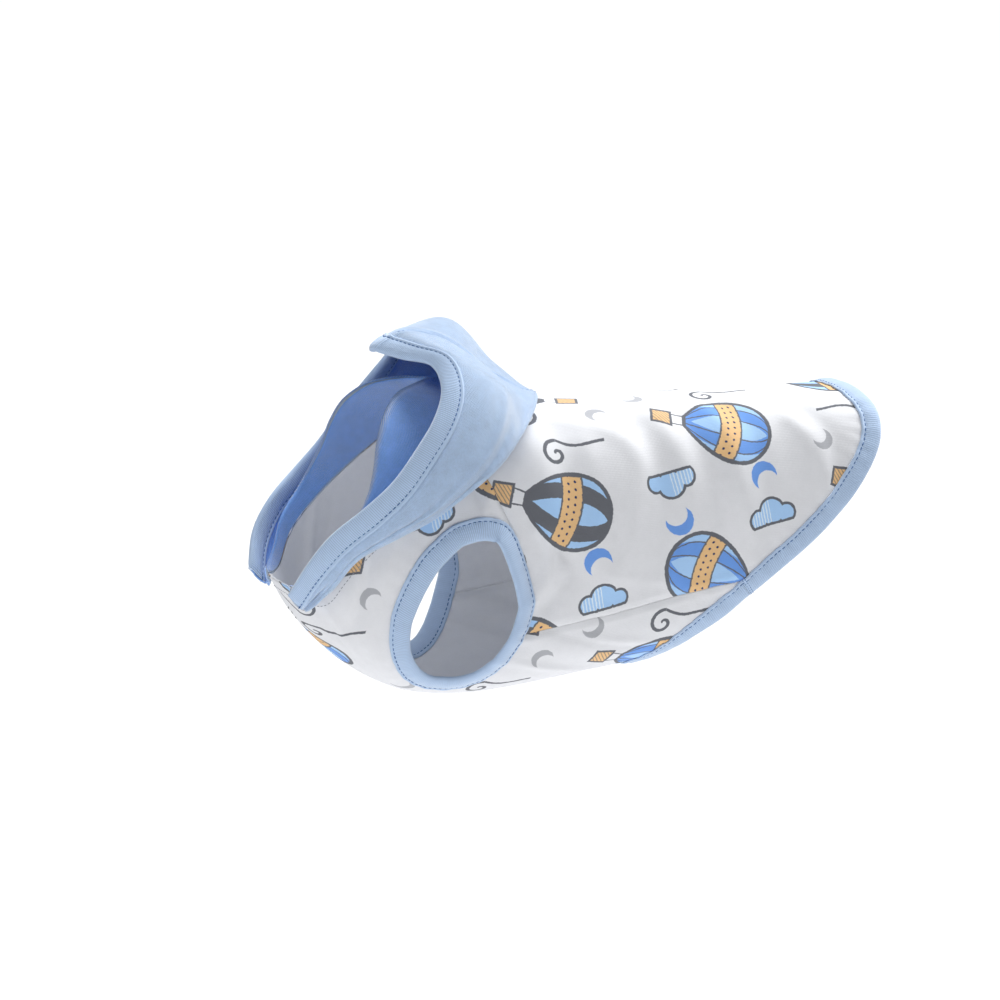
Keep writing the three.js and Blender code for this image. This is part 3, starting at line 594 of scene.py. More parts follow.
def hood_row(share):
    """Knots of one row, the last stretch of them under the binding."""
    fine = run_through(run_through(HOOD_KEYS, share), np.linspace(0, 1, RUN_STEPS + 1))
    lengths = running_length(fine)
    total, ridge, fold = lengths[-1], lengths[RIDGE_STEP], lengths[FOLD_STEP]
    to_fold = np.sin(np.linspace(0, math.pi / 2, HOOD_FINE["under"] + 1)[1:])
    from_fold = 1 - np.sin(np.linspace(math.pi / 2, 0, HOOD_FINE["outer"] + 1)[1:])
    places = np.concatenate([
        np.linspace(0, ridge, HOOD_FINE["collar"] + 1),
        ridge + (fold - ridge) * to_fold,
        fold + (total - BAND - fold) * from_fold,
        np.linspace(total - BAND, total - TURN, HOOD_FINE["band"] + 1)[1:]])
    return np.stack([np.interp(places, lengths, fine[:, k]) for k in range(3)], -1)


SEAM_SLIT = 0.06    # half the slit between the two halves along the crown seam
CROWN_ROW = HOOD_FINE["round"]
CROWDING = 1.4      # above 1, rows lie closer near the crown
row_shares = 1 - (1 - np.linspace(0, 1, CROWN_ROW + 1))**CROWDING
hood_points = np.array([hood_row(s) for s in row_shares])
hood_points[..., 1] = np.minimum(hood_points[..., 1], 0)
hood_points[CROWN_ROW, :, 1] = 0
hood_points = np.concatenate([hood_points, mirror(hood_points[-2::-1])])
print("hood:", hood_points.shape[0], "rows of", hood_points.shape[1], "knots")


def grid_normals(points):
    """Direction through a grid of points, from its neighbours."""
    padded = np.pad(points, ((1, 1), (1, 1), (0, 0)), "edge")
    round_it, over = padded[2:, 1:-1] - padded[:-2, 1:-1], padded[1:-1, 2:] - padded[1:-1, :-2]
    return unit(np.cross(over, round_it))


def runs(points, axis):
    """Running length along the rows or the columns of a grid."""
    lengths = np.linalg.norm(np.diff(points, axis=axis), axis=-1)
    start = np.zeros_like(np.take(lengths, [0], axis))
    return np.concatenate([start, np.cumsum(lengths, axis)], axis)


# %% [markdown]
# The two halves are shaped as one surface and then parted along the crown seam. In the photograph the
# pushed-down hood is not even: the seam lies in a hollow, the near half lies down in front of it and
# the far half stands up behind it. A ceiling that falls away from the seam lays the near half down,
# and a table of soft lumps does the rest.

# %% Lie of the hood, its crown seam and creases
NEAR_DROP, DROP_REACH, DROP_SOFT = 12.0, 22.0, 2.0   # the near half's fall from the seam, millimetres
DROP_START = 5                         # the fall sets in this far from the seam
LOOSE_FROM, LOOSE_TO = 0.08, 0.22      # shares of the outer layer held up by the fold and the band
SEAM_STEP, STEP_REACH = 1.0, 1.2       # the near half's edge lies a little below the far half's
LAYER_ROOM, LEAST_ROOM = 1.6, 1e-3     # room between the two layers
LIMIT_POWER = 4                        # how sharply the fall stops where the room ends
CROWN_DIP, CROWN_REACH = 1.7, 1.0      # valley of the seam
CROWN_SWELL, CROWN_SIDE = 0.5, 3.4     # soft rise beside it
CROWN_WAVES = ((0.25, 1 / 55, 0), (0.15, 1 / 23, 1))   # share, length and start of its unevenness
CROWN_FADE = 0.2                       # share of the outer layer over which it fades at the fold
LUMPS_FROM, LUMPS_TO = 0.06, 0.1       # shares kept free of lumps at the fold and at the band
HOOD_LUMPS = [  # millimetres past the seam, share over, their spreads, rise in millimetres
    (0, 0.45, 6, 0.3, -1.6), (20, 0.6, 12, 0.2, 3.0), (9, 0.36, 6, 0.1, -1.2),
    (-30, 0.36, 9, 0.2, 1.6), (-18, 0.2, 7, 0.12, -1.2)]
HOOD_CREASES = [  # share round, share over, spread round, spread over, lean, rise in millimetres
    (0.60, 0.62, 0.16, 0.035, 0.35, -0.9), (0.66, 0.72, 0.14, 0.03, 0.3, 0.8),
    (0.50, 0.70, 0.18, 0.03, 0.2, 0.6), (0.78, 0.60, 0.1, 0.05, 0.2, -1.0),
    (0.84, 0.72, 0.08, 0.05, -0.3, 0.8), (0.35, 0.72, 0.16, 0.03, 0.1, -0.6),
    (0.90, 0.55, 0.05, 0.1, 0.2, 0.6), (0.13, 0.68, 0.08, 0.03, 0.3, -0.5),
    (0.035, 0.76, 0.045, 0.045, 0.3, -3.0), (0.04, 0.61, 0.05, 0.05, 0.3, 1.3)]


def outer_share(points):
    """How far each knot is over the outer layer, from the fold at 0 to the band at 1."""
    over = runs(points, 1)
    fold, band = over[:, [FOLD_COLUMN]], over[:, [FOLD_COLUMN + HOOD_FINE["outer"]]]
    return np.clip((over - fold) / (band - fold), 0, 1)


outer = outer_share(hood_points)
past_seam = runs(hood_points, 0)
past_seam = past_seam - past_seam[CROWN_ROW]


def hood_normals():
    """Directions off the outer face, which looks up in the middle of the crown."""
    normals = grid_normals(hood_points)
    return normals * np.sign(normals[CROWN_ROW, outer.shape[1] * 2 // 3, 2])


def near_fall():
    """How far the near half is let down, to lie below the seam but on its own lower layer."""
    ceiling = hood_points[CROWN_ROW, :, 2] - NEAR_DROP * (1 - np.exp(-(past_seam / DROP_REACH)**2))
    above = hood_points[..., 2] - ceiling
    above = (above + np.sqrt(above**2 + DROP_SOFT**2)) / 2
    near_band = np.clip((1 - outer) / LOOSE_TO, 0, 1)
    loose = np.clip(outer / LOOSE_FROM, 0, 1) * np.sin(near_band * math.pi / 2)**2
    step = SEAM_STEP * (1 - np.exp(-(past_seam / STEP_REACH)**2))
    fall = (past_seam < 0) * loose * (above * (1 - np.exp(-(past_seam / DROP_START)**2)) + step)
    lower = slice(HOOD_FINE["collar"], FOLD_COLUMN + 1)
    rest = np.array([np.interp(row[:, 0], row[lower, 0], row[lower, 2]) for row in hood_points])
    room = np.maximum(hood_points[..., 2] - rest - LAYER_ROOM, LEAST_ROOM)
    return fall / (1 + (fall / room)**LIMIT_POWER)**(1 / LIMIT_POWER)


def hood_relief():
    """Height added to the hood: its lumps, the valley of the crown seam and the creases."""
    shares = np.concatenate([row_shares, row_shares[-2::-1]])
    a, b = np.meshgrid(shares, np.linspace(0, 1, outer.shape[1]), indexing="ij")
    waver = uneven(b, CROWN_WAVES)
    height = waver * (CROWN_SWELL * np.exp(-((np.abs(past_seam) - CROWN_SIDE) / CROWN_REACH)**2)
                      - CROWN_DIP * np.exp(-(past_seam / CROWN_REACH)**2))
    height *= np.clip(outer / CROWN_FADE, 0, 1)
    on_outer = np.clip(outer / LUMPS_FROM, 0, 1) * np.clip((1 - outer) / LUMPS_TO, 0, 1)
    for past, share, spread_past, spread_share, rise in HOOD_LUMPS:
        away = ((past_seam - past) / spread_past)**2 + ((outer - share) / spread_share)**2
        height += rise * on_outer * np.exp(-away)
    for ca, cb, ra, rb, lean, rise in HOOD_CREASES:
        da, db = a - ca, b - cb - lean * (a - ca)
        height += rise * np.exp(-(da / ra)**2 - (db / rb)**2)
    return height


hood_points[..., 2] -= near_fall()
hood_points = hood_points + hood_normals() * hood_relief()[..., None]
hood_through = hood_normals()

hoods = []
for name, rows, side in (("left", slice(0, CROWN_ROW + 1), -1), ("right", slice(CROWN_ROW, None), 1)):
    points = hood_points[rows].copy()
    points[..., 1] = side * np.maximum(side * points[..., 1], SEAM_SLIT)
    over, round_it = runs(points, 1), runs(points, 0)[:, [points.shape[1] // 2]]
    half = Cloth()
    half.grid(points, hood_through[rows], np.stack([np.broadcast_to(round_it, over.shape), over], -1))
    hoods.append(half.wall(f"hood_{name}_cloth", WALL))
hood_left, hood_right = hoods
print("hood half:", len(hood_left.data.polygons), "faces")

# %% [markdown]
# ## Ribbed bindings
# Each free edge is finished with a strip of rib knit, folded over the raw edge and topstitched. The
# fold makes it plump, the seam pulls a groove near its stitched edge, and the ribs run across it.
# The strip is a U-shaped section carried along the edge. The ribs are a rule that repeats more than
# a thousand times, so a Geometry Nodes tree raises them on the finished strip.

# %% Helpers for node trees and for running them
def node(tree, kind, feeds=(), **settings):
    """Adds a node, with its settings and with values or links for its inputs."""
    made = tree.nodes.new(kind)
    for name, value in settings.items():
        setattr(made, name, value)
    for slot, value in dict(feeds).items():
        if isinstance(value, bpy.types.NodeSocket):
            tree.links.new(value, made.inputs[slot])
        else:
            made.inputs[slot].default_value = value
    return made


def new_tree(kind, name, inputs, outputs):
    """Node group with named sockets, and its input and output nodes."""
    tree = bpy.data.node_groups.new(name, kind)
    for direction, sockets in (("INPUT", inputs), ("OUTPUT", outputs)):
        for label, socket_type in sockets.items():
            tree.interface.new_socket(label, in_out=direction, socket_type="NodeSocket" + socket_type)
    return tree, node(tree, "NodeGroupInput").outputs, node(tree, "NodeGroupOutput").inputs


def run_tree(tree, piece, values):
    """Runs a geometry tree on a piece, which keeps the result as its plain mesh."""
    modifier = piece.modifiers.new(tree.name, "NODES")
    modifier.node_group = tree
    for socket in tree.interface.items_tree:
        if socket.in_out == "INPUT" and socket.name in values:
            modifier[socket.identifier] = values[socket.name]
    graph = bpy.context.evaluated_depsgraph_get()
    made = bpy.data.meshes.new_from_object(piece.evaluated_get(graph), depsgraph=graph,
                                           preserve_all_data_layers=True)
    piece.modifiers.remove(modifier)
    made.name, piece.data = piece.name, made


# %% Rib relief tree
def rib_relief_tree():
    tree, given, result = new_tree("GeometryNodeTree", "rib_relief",
                                   {"Geometry": "Geometry", "Depth": "Float", "Material": "Material"},
                                   {"Geometry": "Geometry"})
    wave = node(tree, "GeometryNodeInputNamedAttribute", {"Name": "rib_wave"}, data_type="FLOAT")
    depth = node(tree, "ShaderNodeMath", {0: wave.outputs[0], 1: given["Depth"]},
                 operation="MULTIPLY")
    offset = node(tree, "ShaderNodeVectorMath", {0: node(tree, "GeometryNodeInputNormal").outputs[0],
                                                 "Scale": depth.outputs[0]}, operation="SCALE")
    moved = node(tree, "GeometryNodeSetPosition", {"Geometry": given["Geometry"],
                                                   "Offset": offset.outputs[0]})
    real = node(tree, "GeometryNodeRealizeInstances", {"Geometry": moved.outputs[0]})
    done = node(tree, "GeometryNodeSetMaterial", {"Geometry": real.outputs[0],
                                                  "Material": given["Material"]})
    tree.links.new(done.outputs[0], result["Geometry"])
    return tree


rib_relief = rib_relief_tree()
print("rib relief:", len(rib_relief.nodes), "nodes")

# %% The folded strip
SECTION = np.array([  # share of BAND from the stitched edge, height over the middle of the cloth
    (0.0, 0.5), (0.0, 0.92), (0.03, 1.24), (0.085, 1.34), (0.13, 1.2), (0.17, 1.06), (0.21, 1.2),
    (0.29, 1.5), (0.42, 1.72), (0.58, 1.82), (0.74, 1.76), (0.87, 1.46), (0.96, 0.85), (1.0, 0.0)])
CHANNEL = np.array([(0.8, -0.5), (0.83, 0.0), (0.8, 0.5)])   # inside of the fold
CLOSING = 2.0                 # flat cloth from the loop's last point to its first, millimetres
FACE_HEIGHT = 0.6             # points of the section above this belong to a face
LEAST_HEIGHT = 0.62           # a face is never thinned below this
PLUMP_WAVES = ((0.05, 8.3), (0.04, 3.7))   # share and length of the waves in a strip's plumpness
EDGE_WAVE = (0.014, 11)       # share and length of the wave in its folded edge
END_REACH = 1.8               # how far from its end a strip that is sewn flat there thins, millimetres
STITCH_LINE = (0.17, 1.06)    # where the topstitch lies on the section
RIB_PITCH, RIB_DEPTH, RIB_SAMPLES = 0.9, 0.12, 4
RIBBED_FROM, RIBBED_TO = 0.2, 0.93   # the part of the face where the ribs stand clear


def section_loop():
    inside = SECTION[-2::-1] * (1, -1)
    return np.concatenate([SECTION, inside, CHANNEL])


def resample(stations, closed):
    """Stations of a binding at RIB_SAMPLES to a rib, a whole number of ribs long."""
    middle = (stations[0] + stations[2]) / 2
    if closed:
        stations = [np.concatenate([s, s[:1]]) for s in stations]
        middle = np.concatenate([middle, middle[:1]])
    run = running_length(middle)
    ribs = round(run[-1] / RIB_PITCH)
    places = np.linspace(0, run[-1], ribs * RIB_SAMPLES + 1)
    fine = [np.stack([np.interp(places, run, s[:, k]) for k in range(3)], -1) for s in stations]
    return fine, places


def on_strip(stations, share, height):
    """Points of a strip at a share of its width and a height over the middle of the cloth."""
    stitched, stitched_through, raw, raw_through = stations
    share, height = np.asarray(share)[..., None], np.asarray(height)[..., None]
    w = np.minimum(share * BAND / WING, 1)
    through = unit(stitched_through[:, None] * (1 - w) + raw_through[:, None] * w)
    return (stitched[:, None] + (raw - stitched)[:, None] * share * BAND / WING + through * height)


def binding(name, stations, closed, clear, pinch):
    """Closed folded strip, with its ribs' wave and its place on the flat strip. Clear says how far
    the ribs stand out at shares of its length, and pinch how much thinner its ends are."""
    stations, places = resample(stations, closed)
    loop = section_loop()
    around, off_middle, start = len(loop), np.abs(loop[:, 1]), len(name)
    plump = uneven(places, [(*wave, begin) for wave, begin in zip(PLUMP_WAVES, (start, 0))])
    from_end = np.minimum(places, places[-1] - places)
    plump = plump * (1 - pinch * np.exp(-(from_end / END_REACH)**2))
    heights = loop[None, :, 1] * np.where(off_middle > FACE_HEIGHT, plump[:, None], 1)
    heights = np.sign(heights) * np.maximum(np.abs(heights), np.minimum(off_middle, LEAST_HEIGHT))
    share, length = EDGE_WAVE
    edge = 1 + (loop[:, 0] > 0.5) * share * np.sin(places / length + start)[:, None]
    points = on_strip(stations, loop[None, :, 0] * edge, heights)
    keep = len(places) - 1 if closed else len(places)
    points = points[:keep].reshape(-1, 3)
    i, j = np.meshgrid(np.arange(len(places) - 1), np.arange(around), indexing="ij")
    ahead, beside_it = (i + 1) % keep, (j + 1) % around
    quads = np.stack([i * around + j, ahead * around + j, ahead * around + beside_it,
                      i * around + beside_it], -1).reshape(-1, 4)
    caps = [] if closed else [list(range(around))[::-1],
                              [(keep - 1) * around + k for k in range(around)]]
    across = running_length(loop * (BAND, 1))
    across = np.append(across, across[-1] + CLOSING)
    uv = np.stack([np.stack([places[i], places[i + 1], places[i + 1], places[i]], -1),
                   np.stack([across[j], across[j], across[j + 1], across[j + 1]], -1)], -1)
    piece = mesh_piece(name, points, quads, uv.reshape(-1, 4, 2), caps)
    face = (loop[:, 0] > RIBBED_FROM) & (loop[:, 0] < RIBBED_TO) & (off_middle > FACE_HEIGHT)
    stand = np.interp(places[:keep] / places[-1], *np.array(clear).T)[:, None]
    # This wave raises the ribs and, in the binding's material, also paints their crests lighter and
    # their grooves darker as painted shade.
    wave = np.cos(2 * math.pi * np.arange(keep) / RIB_SAMPLES)[:, None] * face * stand
    piece.data.attributes.new("rib_wave", "FLOAT", "POINT").data.foreach_set("value", wave.ravel())
    return piece, stations


def edge_stations(stitched, raw):
    """Stations of a binding from the places of its stitched edge and of the raw edge inside it."""
    return [*on_body(stitched), *on_body(raw)]


def both_ways(stations):
    """The left side's stations, led by their mirror image from the far end to the middle."""
    return [np.concatenate([mirror(s[:0:-1]), s]) for s in stations]


# %% The five bindings
STATIONS = {"armhole": 400, "back_hem": 260, "belly_hem": 180}
HOOD_PINCH = 0.6      # how much thinner the hood's strip is at its ends
arm_run = np.linspace(0, arm["total"], STATIONS["armhole"])[:-1]
arm_at, arm_through = arm_wing(arm_run, (0, 1))
arm_stations = [arm_at[:, 0], arm_through[:, 0], arm_at[:, 1], arm_through[:, 1]]
back_run = np.linspace(0, side_on_hem, STATIONS["back_hem"])
belly_run = np.linspace(hem["total"], side_on_hem, STATIONS["belly_hem"])
hood_edge = [grid[:, column] for column in (-1 - HOOD_FINE["band"], -1)
             for grid in (hood_points, hood_through)]
# How far the ribs stand out, at shares of a strip's length
HOOD_CLEAR, HEM_CLEAR = ((0, 1), (1, 1)), ((0, 0.55), (1, 0.55))
ARM_CLEAR = ((0, 0.6), (0.05, 1), (0.33, 1), (0.45, 0.5), (0.65, 0.2), (0.95, 0.2), (1, 0.6))
back_stations, belly_stations = (
    both_ways(edge_stations(beside(hem, run, BAND), beside(hem, run, TURN)))
    for run in (back_run, belly_run))
strips = {
    "hood_binding": (hood_edge, False, HOOD_CLEAR, HOOD_PINCH),
    "armhole_binding_left": (arm_stations, True, ARM_CLEAR, 0),
    "armhole_binding_right": ([mirror(s) for s in arm_stations], True, ARM_CLEAR, 0),
    "back_hem_binding": (back_stations, False, HEM_CLEAR, 0),
    "belly_hem_binding": (belly_stations, False, HEM_CLEAR, 0)}
bindings, strip_stations, strip_lengths = {}, {}, {}
for name, (stations, closed, clear, pinch) in strips.items():
    piece, fine = binding(name + "_rib", stations, closed, clear, pinch)
    bindings[name], strip_stations[name] = piece, (fine, closed)
    middle = (fine[0] + fine[2]) / 2
    strip_lengths[name] = float(np.linalg.norm(np.diff(middle, axis=0), axis=1).sum())
    print(name, round(strip_lengths[name]), "mm long,", len(piece.data.polygons), "faces")

# %% [markdown]
# ## Stitches
# A topstitch is a row of short dashes, each one a loop of thread that dives into the cloth at both
# ends. On the bindings it is dark blue, below the neck seam grey and beside the crown seam pale
# blue. The rows are drawn as chains of points with the direction off the cloth at each point. A
# Geometry Nodes tree spaces the stitches along them by their pitch, lays one small arched tube on
# each place and turns it to follow the row and the surface.

# %% Stitch row tree
ARCH_STEPS, THREAD_SIDES = 5, 6     # how finely one stitch is made
SINK = 1.2                          # how deep its ends lie, in thread radii


def stitch_tree():
    sizes = {"Pitch": "Float", "Length": "Float", "Thread": "Float", "Arch": "Float"}
    tree, given, result = new_tree("GeometryNodeTree", "stitch_row",
                                   {"Geometry": "Geometry", **sizes, "Material": "Material"},
                                   {"Geometry": "Geometry"})
    half = node(tree, "ShaderNodeMath", {0: given["Length"], 1: 0.5}, operation="MULTIPLY")
    minus = node(tree, "ShaderNodeMath", {0: half.outputs[0], 1: -1.0}, operation="MULTIPLY")
    sunk = node(tree, "ShaderNodeMath", {0: given["Thread"], 1: -SINK}, operation="MULTIPLY")
    ends = [node(tree, "ShaderNodeCombineXYZ", {"X": x.outputs[0], "Z": sunk.outputs[0]})
            for x in (minus, half)]
    top = node(tree, "ShaderNodeCombineXYZ", {"Z": given["Arch"]})
    arch = node(tree, "GeometryNodeCurveQuadraticBezier",
                {"Resolution": ARCH_STEPS, "Start": ends[0].outputs[0], "Middle": top.outputs[0],
                 "End": ends[1].outputs[0]})
    ring = node(tree, "GeometryNodeCurvePrimitiveCircle", {"Resolution": THREAD_SIDES,
                                                           "Radius": given["Thread"]})
    stitch = node(tree, "GeometryNodeCurveToMesh", {"Curve": arch.outputs[0],
                                                    "Profile Curve": ring.outputs[0],
                                                    "Fill Caps": True})
    smooth_stitch = node(tree, "GeometryNodeSetShadeSmooth", {"Geometry": stitch.outputs[0]})
    row = node(tree, "GeometryNodeMeshToCurve", {0: given["Geometry"]})
    spaced = node(tree, "GeometryNodeResampleCurve", {"Curve": row.outputs[0],
                                                      "Length": given["Pitch"]}, mode="LENGTH")
    off_cloth = node(tree, "GeometryNodeInputNamedAttribute", {"Name": "off_cloth"},
                     data_type="FLOAT_VECTOR")
    turned = node(tree, "FunctionNodeAxesToRotation",
                  {"Primary Axis": off_cloth.outputs[0],
                   "Secondary Axis": node(tree, "GeometryNodeInputTangent").outputs[0]},
                  primary_axis="Z", secondary_axis="X")
    laid = node(tree, "GeometryNodeInstanceOnPoints", {"Points": spaced.outputs[0],
                                                       "Instance": smooth_stitch.outputs[0],
                                                       "Rotation": turned.outputs[0]})
    real = node(tree, "GeometryNodeRealizeInstances", {"Geometry": laid.outputs[0]})
    done = node(tree, "GeometryNodeSetMaterial", {"Geometry": real.outputs[0],
                                                  "Material": given["Material"]})
    tree.links.new(done.outputs[0], result["Geometry"])
    return tree


stitch_row = stitch_tree()
print("stitch row:", len(stitch_row.nodes), "nodes")


def stitches(name, rows, pitch, length, thread, arch, material):
    """Piece made of rows of stitches; a row is points, directions off the cloth and whether closed."""
    points, off_cloth, edges = [], [], []
    for at, through, closed in rows:
        start, count = sum(map(len, points)), len(at)
        edges += [(start + k, start + (k + 1) % count) for k in range(count if closed else count - 1)]
        points.append(at)
        off_cloth.append(through)
    mesh = bpy.data.meshes.new(name)
    mesh.from_pydata((np.concatenate(points) * MM).tolist(), edges, [])
    mesh.attributes.new("off_cloth", "FLOAT_VECTOR", "POINT").data.foreach_set(
        "vector", np.concatenate(off_cloth).astype(np.float32).ravel())
    piece = new_object(name, mesh)
    run_tree(stitch_row, piece, {"Pitch": pitch * MM, "Length": length * MM, "Thread": thread * MM,
                                 "Arch": arch * MM, "Material": material})
    print(name + ":", len(piece.data.polygons), "faces")
    return piece


# %% [markdown]
# ## Finishes
# Printed jersey is white knit with a screen print that sits in the stitches. The print here is a
# generic one: hot-air balloons, clouds, crescent moons and curls of wind in charcoal, two blues and
# tan. Each motif is written as distances from its outline in the flat cloth's own millimetres, so it
# follows the cut, breaks at the seams and stays sharp at any distance. Knit and rib are relief in the
# Bump node. Every colour is the cloth's own except two marks of painted shade: the hood's inner face
# is painted a deeper blue, and the ribs are painted lighter on their crests and darker in their
# grooves.

# %% Maths that writes shader nodes
EDGE_SOFTNESS = 0.22    # millimetres over which an edge of the print fades


class Term:
    """A number that varies over a surface. Sums written with it become Math nodes."""

    def __init__(self, tree, socket):
        self.tree, self.socket = tree, socket

    def made(self, operation, *others, clamp=False):
        values = [v.socket if isinstance(v, Term) else v for v in (self, *others)]
        new = node(self.tree, "ShaderNodeMath", enumerate(values), operation=operation,
                   use_clamp=clamp)
        return Term(self.tree, new.outputs[0])

    def __add__(self, other):
        return self.made("ADD", other)

    def __sub__(self, other):
        return self.made("SUBTRACT", other)

    def __mul__(self, other):
        return self.made("MULTIPLY", other)

    def __truediv__(self, other):
        return self.made("DIVIDE", other)

    def __neg__(self):
        return self.made("MULTIPLY", -1.0)

    def __abs__(self):
        return self.made("ABSOLUTE")

    def least(self, other):
        return self.made("MINIMUM", other)

    def most(self, other):
        return self.made("MAXIMUM", other)


def away_from(x, y):
    """Distance from a motif's middle."""
    return (x * x + y * y).made("SQRT")


def within(distance, softness=EDGE_SOFTNESS):
    """1 inside an outline and 0 outside it, from the distance to the outline."""
    return distance.made("MULTIPLY_ADD", -1 / softness, 0.5, clamp=True)


def pen(distance, half_width):
    """A line drawn along an outline."""
    return within(abs(distance) - half_width)


def one_colour(tree, colour):
    """Socket that gives one colour."""
    made = node(tree, "ShaderNodeRGB")
    made.outputs[0].default_value = (*colour, 1)
    return made.outputs[0]


def paint(tree, below, colour, mask):
    """A colour laid over another where the mask is 1."""
    top = colour if isinstance(colour, bpy.types.NodeSocket) else (*colour, 1)
    mixed = node(tree, "ShaderNodeMix", {0: mask.socket, 6: below, 7: top}, data_type="RGBA")
    return mixed.outputs[2]


def turned(x, y, degrees, at):
    """The same place seen from a motif that is moved and turned."""
    c, s = math.cos(math.radians(degrees)), math.sin(math.radians(degrees))
    dx, dy = x - at[0], y - at[1]
    return dx * c + dy * s, dy * c - dx * s


# %% Colours of the print and the motifs
CHARCOAL, GREY = (0.14, 0.148, 0.168), (0.42, 0.43, 0.46)
LIGHT_BLUE, MID_BLUE = (0.40, 0.62, 0.92), (0.16, 0.34, 0.78)
TAN, NAVY = (0.80, 0.52, 0.26), (0.03, 0.05, 0.13)
WHITE_CLOTH = (0.76, 0.77, 0.8)
PALE_HATCH = (0.72, 0.84, 0.96)
PENS = {"outline": 0.72, "belt": 0.32, "gore": 0.26, "rope": 0.3, "basket": 0.5, "weave": 0.16,
        "cloud": 0.5, "curl": 0.72, "tail": 0.6}     # half widths, in motif millimetres
BALLOON = {"radius": 13.5, "tail": 19.0, "mouth": 2.6, "ropes": 5.0, "basket": 3.6, "splay": 0.12,
           "weave": 1.7}
TAPER_SLOPE, LEAST_SQUARE = 0.85, 0.05      # of the envelope's lower half, and of its upper half
GORE = {"middle": 0.53, "half": 0.21, "edges": (0.32, 0.74)}     # shares of the envelope
BELT = {"half": 4.05, "rise": 1.5, "sag": 0.016}
DOTS = {"spacing": 2.7, "shift": 1.3, "radius": 0.48}


# %% Hot-air balloon
def balloon(tree, below, x, y, dark):
    """Envelope with gores and a dotted belt, ropes and a basket. The top is at +y."""
    r, tail, mouth = (BALLOON[k] for k in ("radius", "tail", "mouth"))
    ropes, basket, splay = (BALLOON[k] for k in ("ropes", "basket", "splay"))
    upper = y.made("GREATER_THAN", 0.0)
    lower = -upper + 1
    down = y / tail
    taper = (down * down).made("MULTIPLY_ADD", -(r - mouth), r)
    dome = (-(y * y) + r * r).most(LEAST_SQUARE).made("SQRT")
    half = dome * upper + taper * lower
    below_middle = ((abs(x) - taper) * TAPER_SLOPE).most(-y - tail)
    outline = (away_from(x, y) - r) * upper + below_middle * lower
    inside = within(outline)
    share = abs(x) / half
    gore = pen((share - GORE["middle"]) * half, GORE["half"] * r)
    colour = paint(tree, below, LIGHT_BLUE, inside)
    gores = node(tree, "ShaderNodeMix", {0: dark.socket, 6: (*MID_BLUE, 1), 7: (*CHARCOAL, 1)},
                 data_type="RGBA").outputs[2]
    colour = paint(tree, colour, gores, inside * gore)
    belt = y + x * x * BELT["sag"] + BELT["rise"]
    dots_x, dots_y = (x + DOTS["shift"]) / DOTS["spacing"], belt / DOTS["spacing"]
    row = dots_y.made("FLOOR").made("MODULO", 2.0) * 0.5
    from_dot = away_from((dots_x + row).made("FRACT") - 0.5, dots_y.made("FRACT") - 0.5)
    dot = from_dot * DOTS["spacing"] - DOTS["radius"]
    off_belt = abs(belt) - BELT["half"]
    on_belt = within(off_belt) * inside
    colour = paint(tree, colour, TAN, on_belt)
    colour = paint(tree, colour, NAVY, on_belt * within(dot))
    first, second = (pen((share - edge) * half, PENS["gore"]) for edge in GORE["edges"])
    lines = pen(off_belt, PENS["belt"]).most(first.most(second) * (-on_belt + 1)) * inside
    lines = lines.most(pen(outline, PENS["outline"]))
    hang = -y - tail
    beside_rope = abs(x) - hang * splay - mouth + PENS["rope"]
    rope = pen(beside_rope, PENS["rope"]) * within(abs(hang - ropes / 2) - (ropes / 2 + 0.1))
    low = y + (tail + ropes + basket)
    box = (abs(x) - low * splay - basket).most(abs(low) - basket)
    colour = paint(tree, colour, TAN, within(box))
    weave = pen(((x + low) / BALLOON["weave"]).made("FRACT") - 0.5, PENS["weave"]) * within(box)
    lines = lines.most(rope).most(pen(box, PENS["basket"])).most(weave * 0.7)
    return paint(tree, colour, CHARCOAL, lines)


# %% Cloud, moon and curl of wind
PUFFS = ((-5.6, 0, 3.5), (0, 1.8, 5.0), (5.8, 0, 3.7))    # across, up and radius
CLOUD_FOOT = 2.6       # middle of the cloud to its flat foot
HATCH = {"spacing": 1.25, "half": 0.2, "softness": 0.15, "from": 0.5}
BITE = {"across": 0.5, "up": 0.28, "radius": 0.83}        # what a crescent lacks, in its own radii
CURL = {"pitch": 4.4, "reach": 5.5, "stop": 30.0, "wave": 1.5, "waves": 0.24, "tail": 9.0}


def cloud(tree, below, x, y):
    """Three round puffs on a flat foot, half of them hatched."""
    puffs = [away_from(x - across, y - up) - radius for across, up, radius in PUFFS]
    outline = puffs[0].least(puffs[1]).least(puffs[2]).most(-y - CLOUD_FOOT)
    inside = within(outline)
    stripe = abs((x / HATCH["spacing"]).made("FRACT") - 0.5) - HATCH["half"]
    hatch = within(stripe, HATCH["softness"]) * x.made("GREATER_THAN", HATCH["from"])
    colour = paint(tree, below, LIGHT_BLUE, inside)
    colour = paint(tree, colour, PALE_HATCH, inside * hatch)
    return paint(tree, colour, CHARCOAL, pen(outline, PENS["cloud"]))


def moon(tree, below, x, y, colour, size):
    """Crescent of one colour."""
    from_bite = away_from(x - size * BITE["across"], y - size * BITE["up"])
    crescent = (away_from(x, y) - size).most(-from_bite + size * BITE["radius"])
    return paint(tree, below, colour, within(crescent))


def curl(tree, below, x, y):
    """Curl of wind: one drawn spiral and its tail."""
    pitch, reach = CURL["pitch"], CURL["reach"]
    last_turn = reach / pitch
    angle = y.made("ARCTAN2", x) / (2 * math.pi)
    turns = away_from(x, y) / pitch - angle - 0.5
    lap = turns.made("ROUND")
    arm_of_it = abs(turns - lap) * pitch - PENS["curl"]
    spiral = arm_of_it.most((lap + angle + (0.5 - last_turn)) * CURL["stop"])
    wave = (x * CURL["waves"]).made("SINE") * CURL["wave"]
    tail = (abs(y + reach - wave) - PENS["tail"]).most(abs(x - CURL["tail"]) - CURL["tail"])
    return paint(tree, below, CHARCOAL, within(spiral.least(tail)))


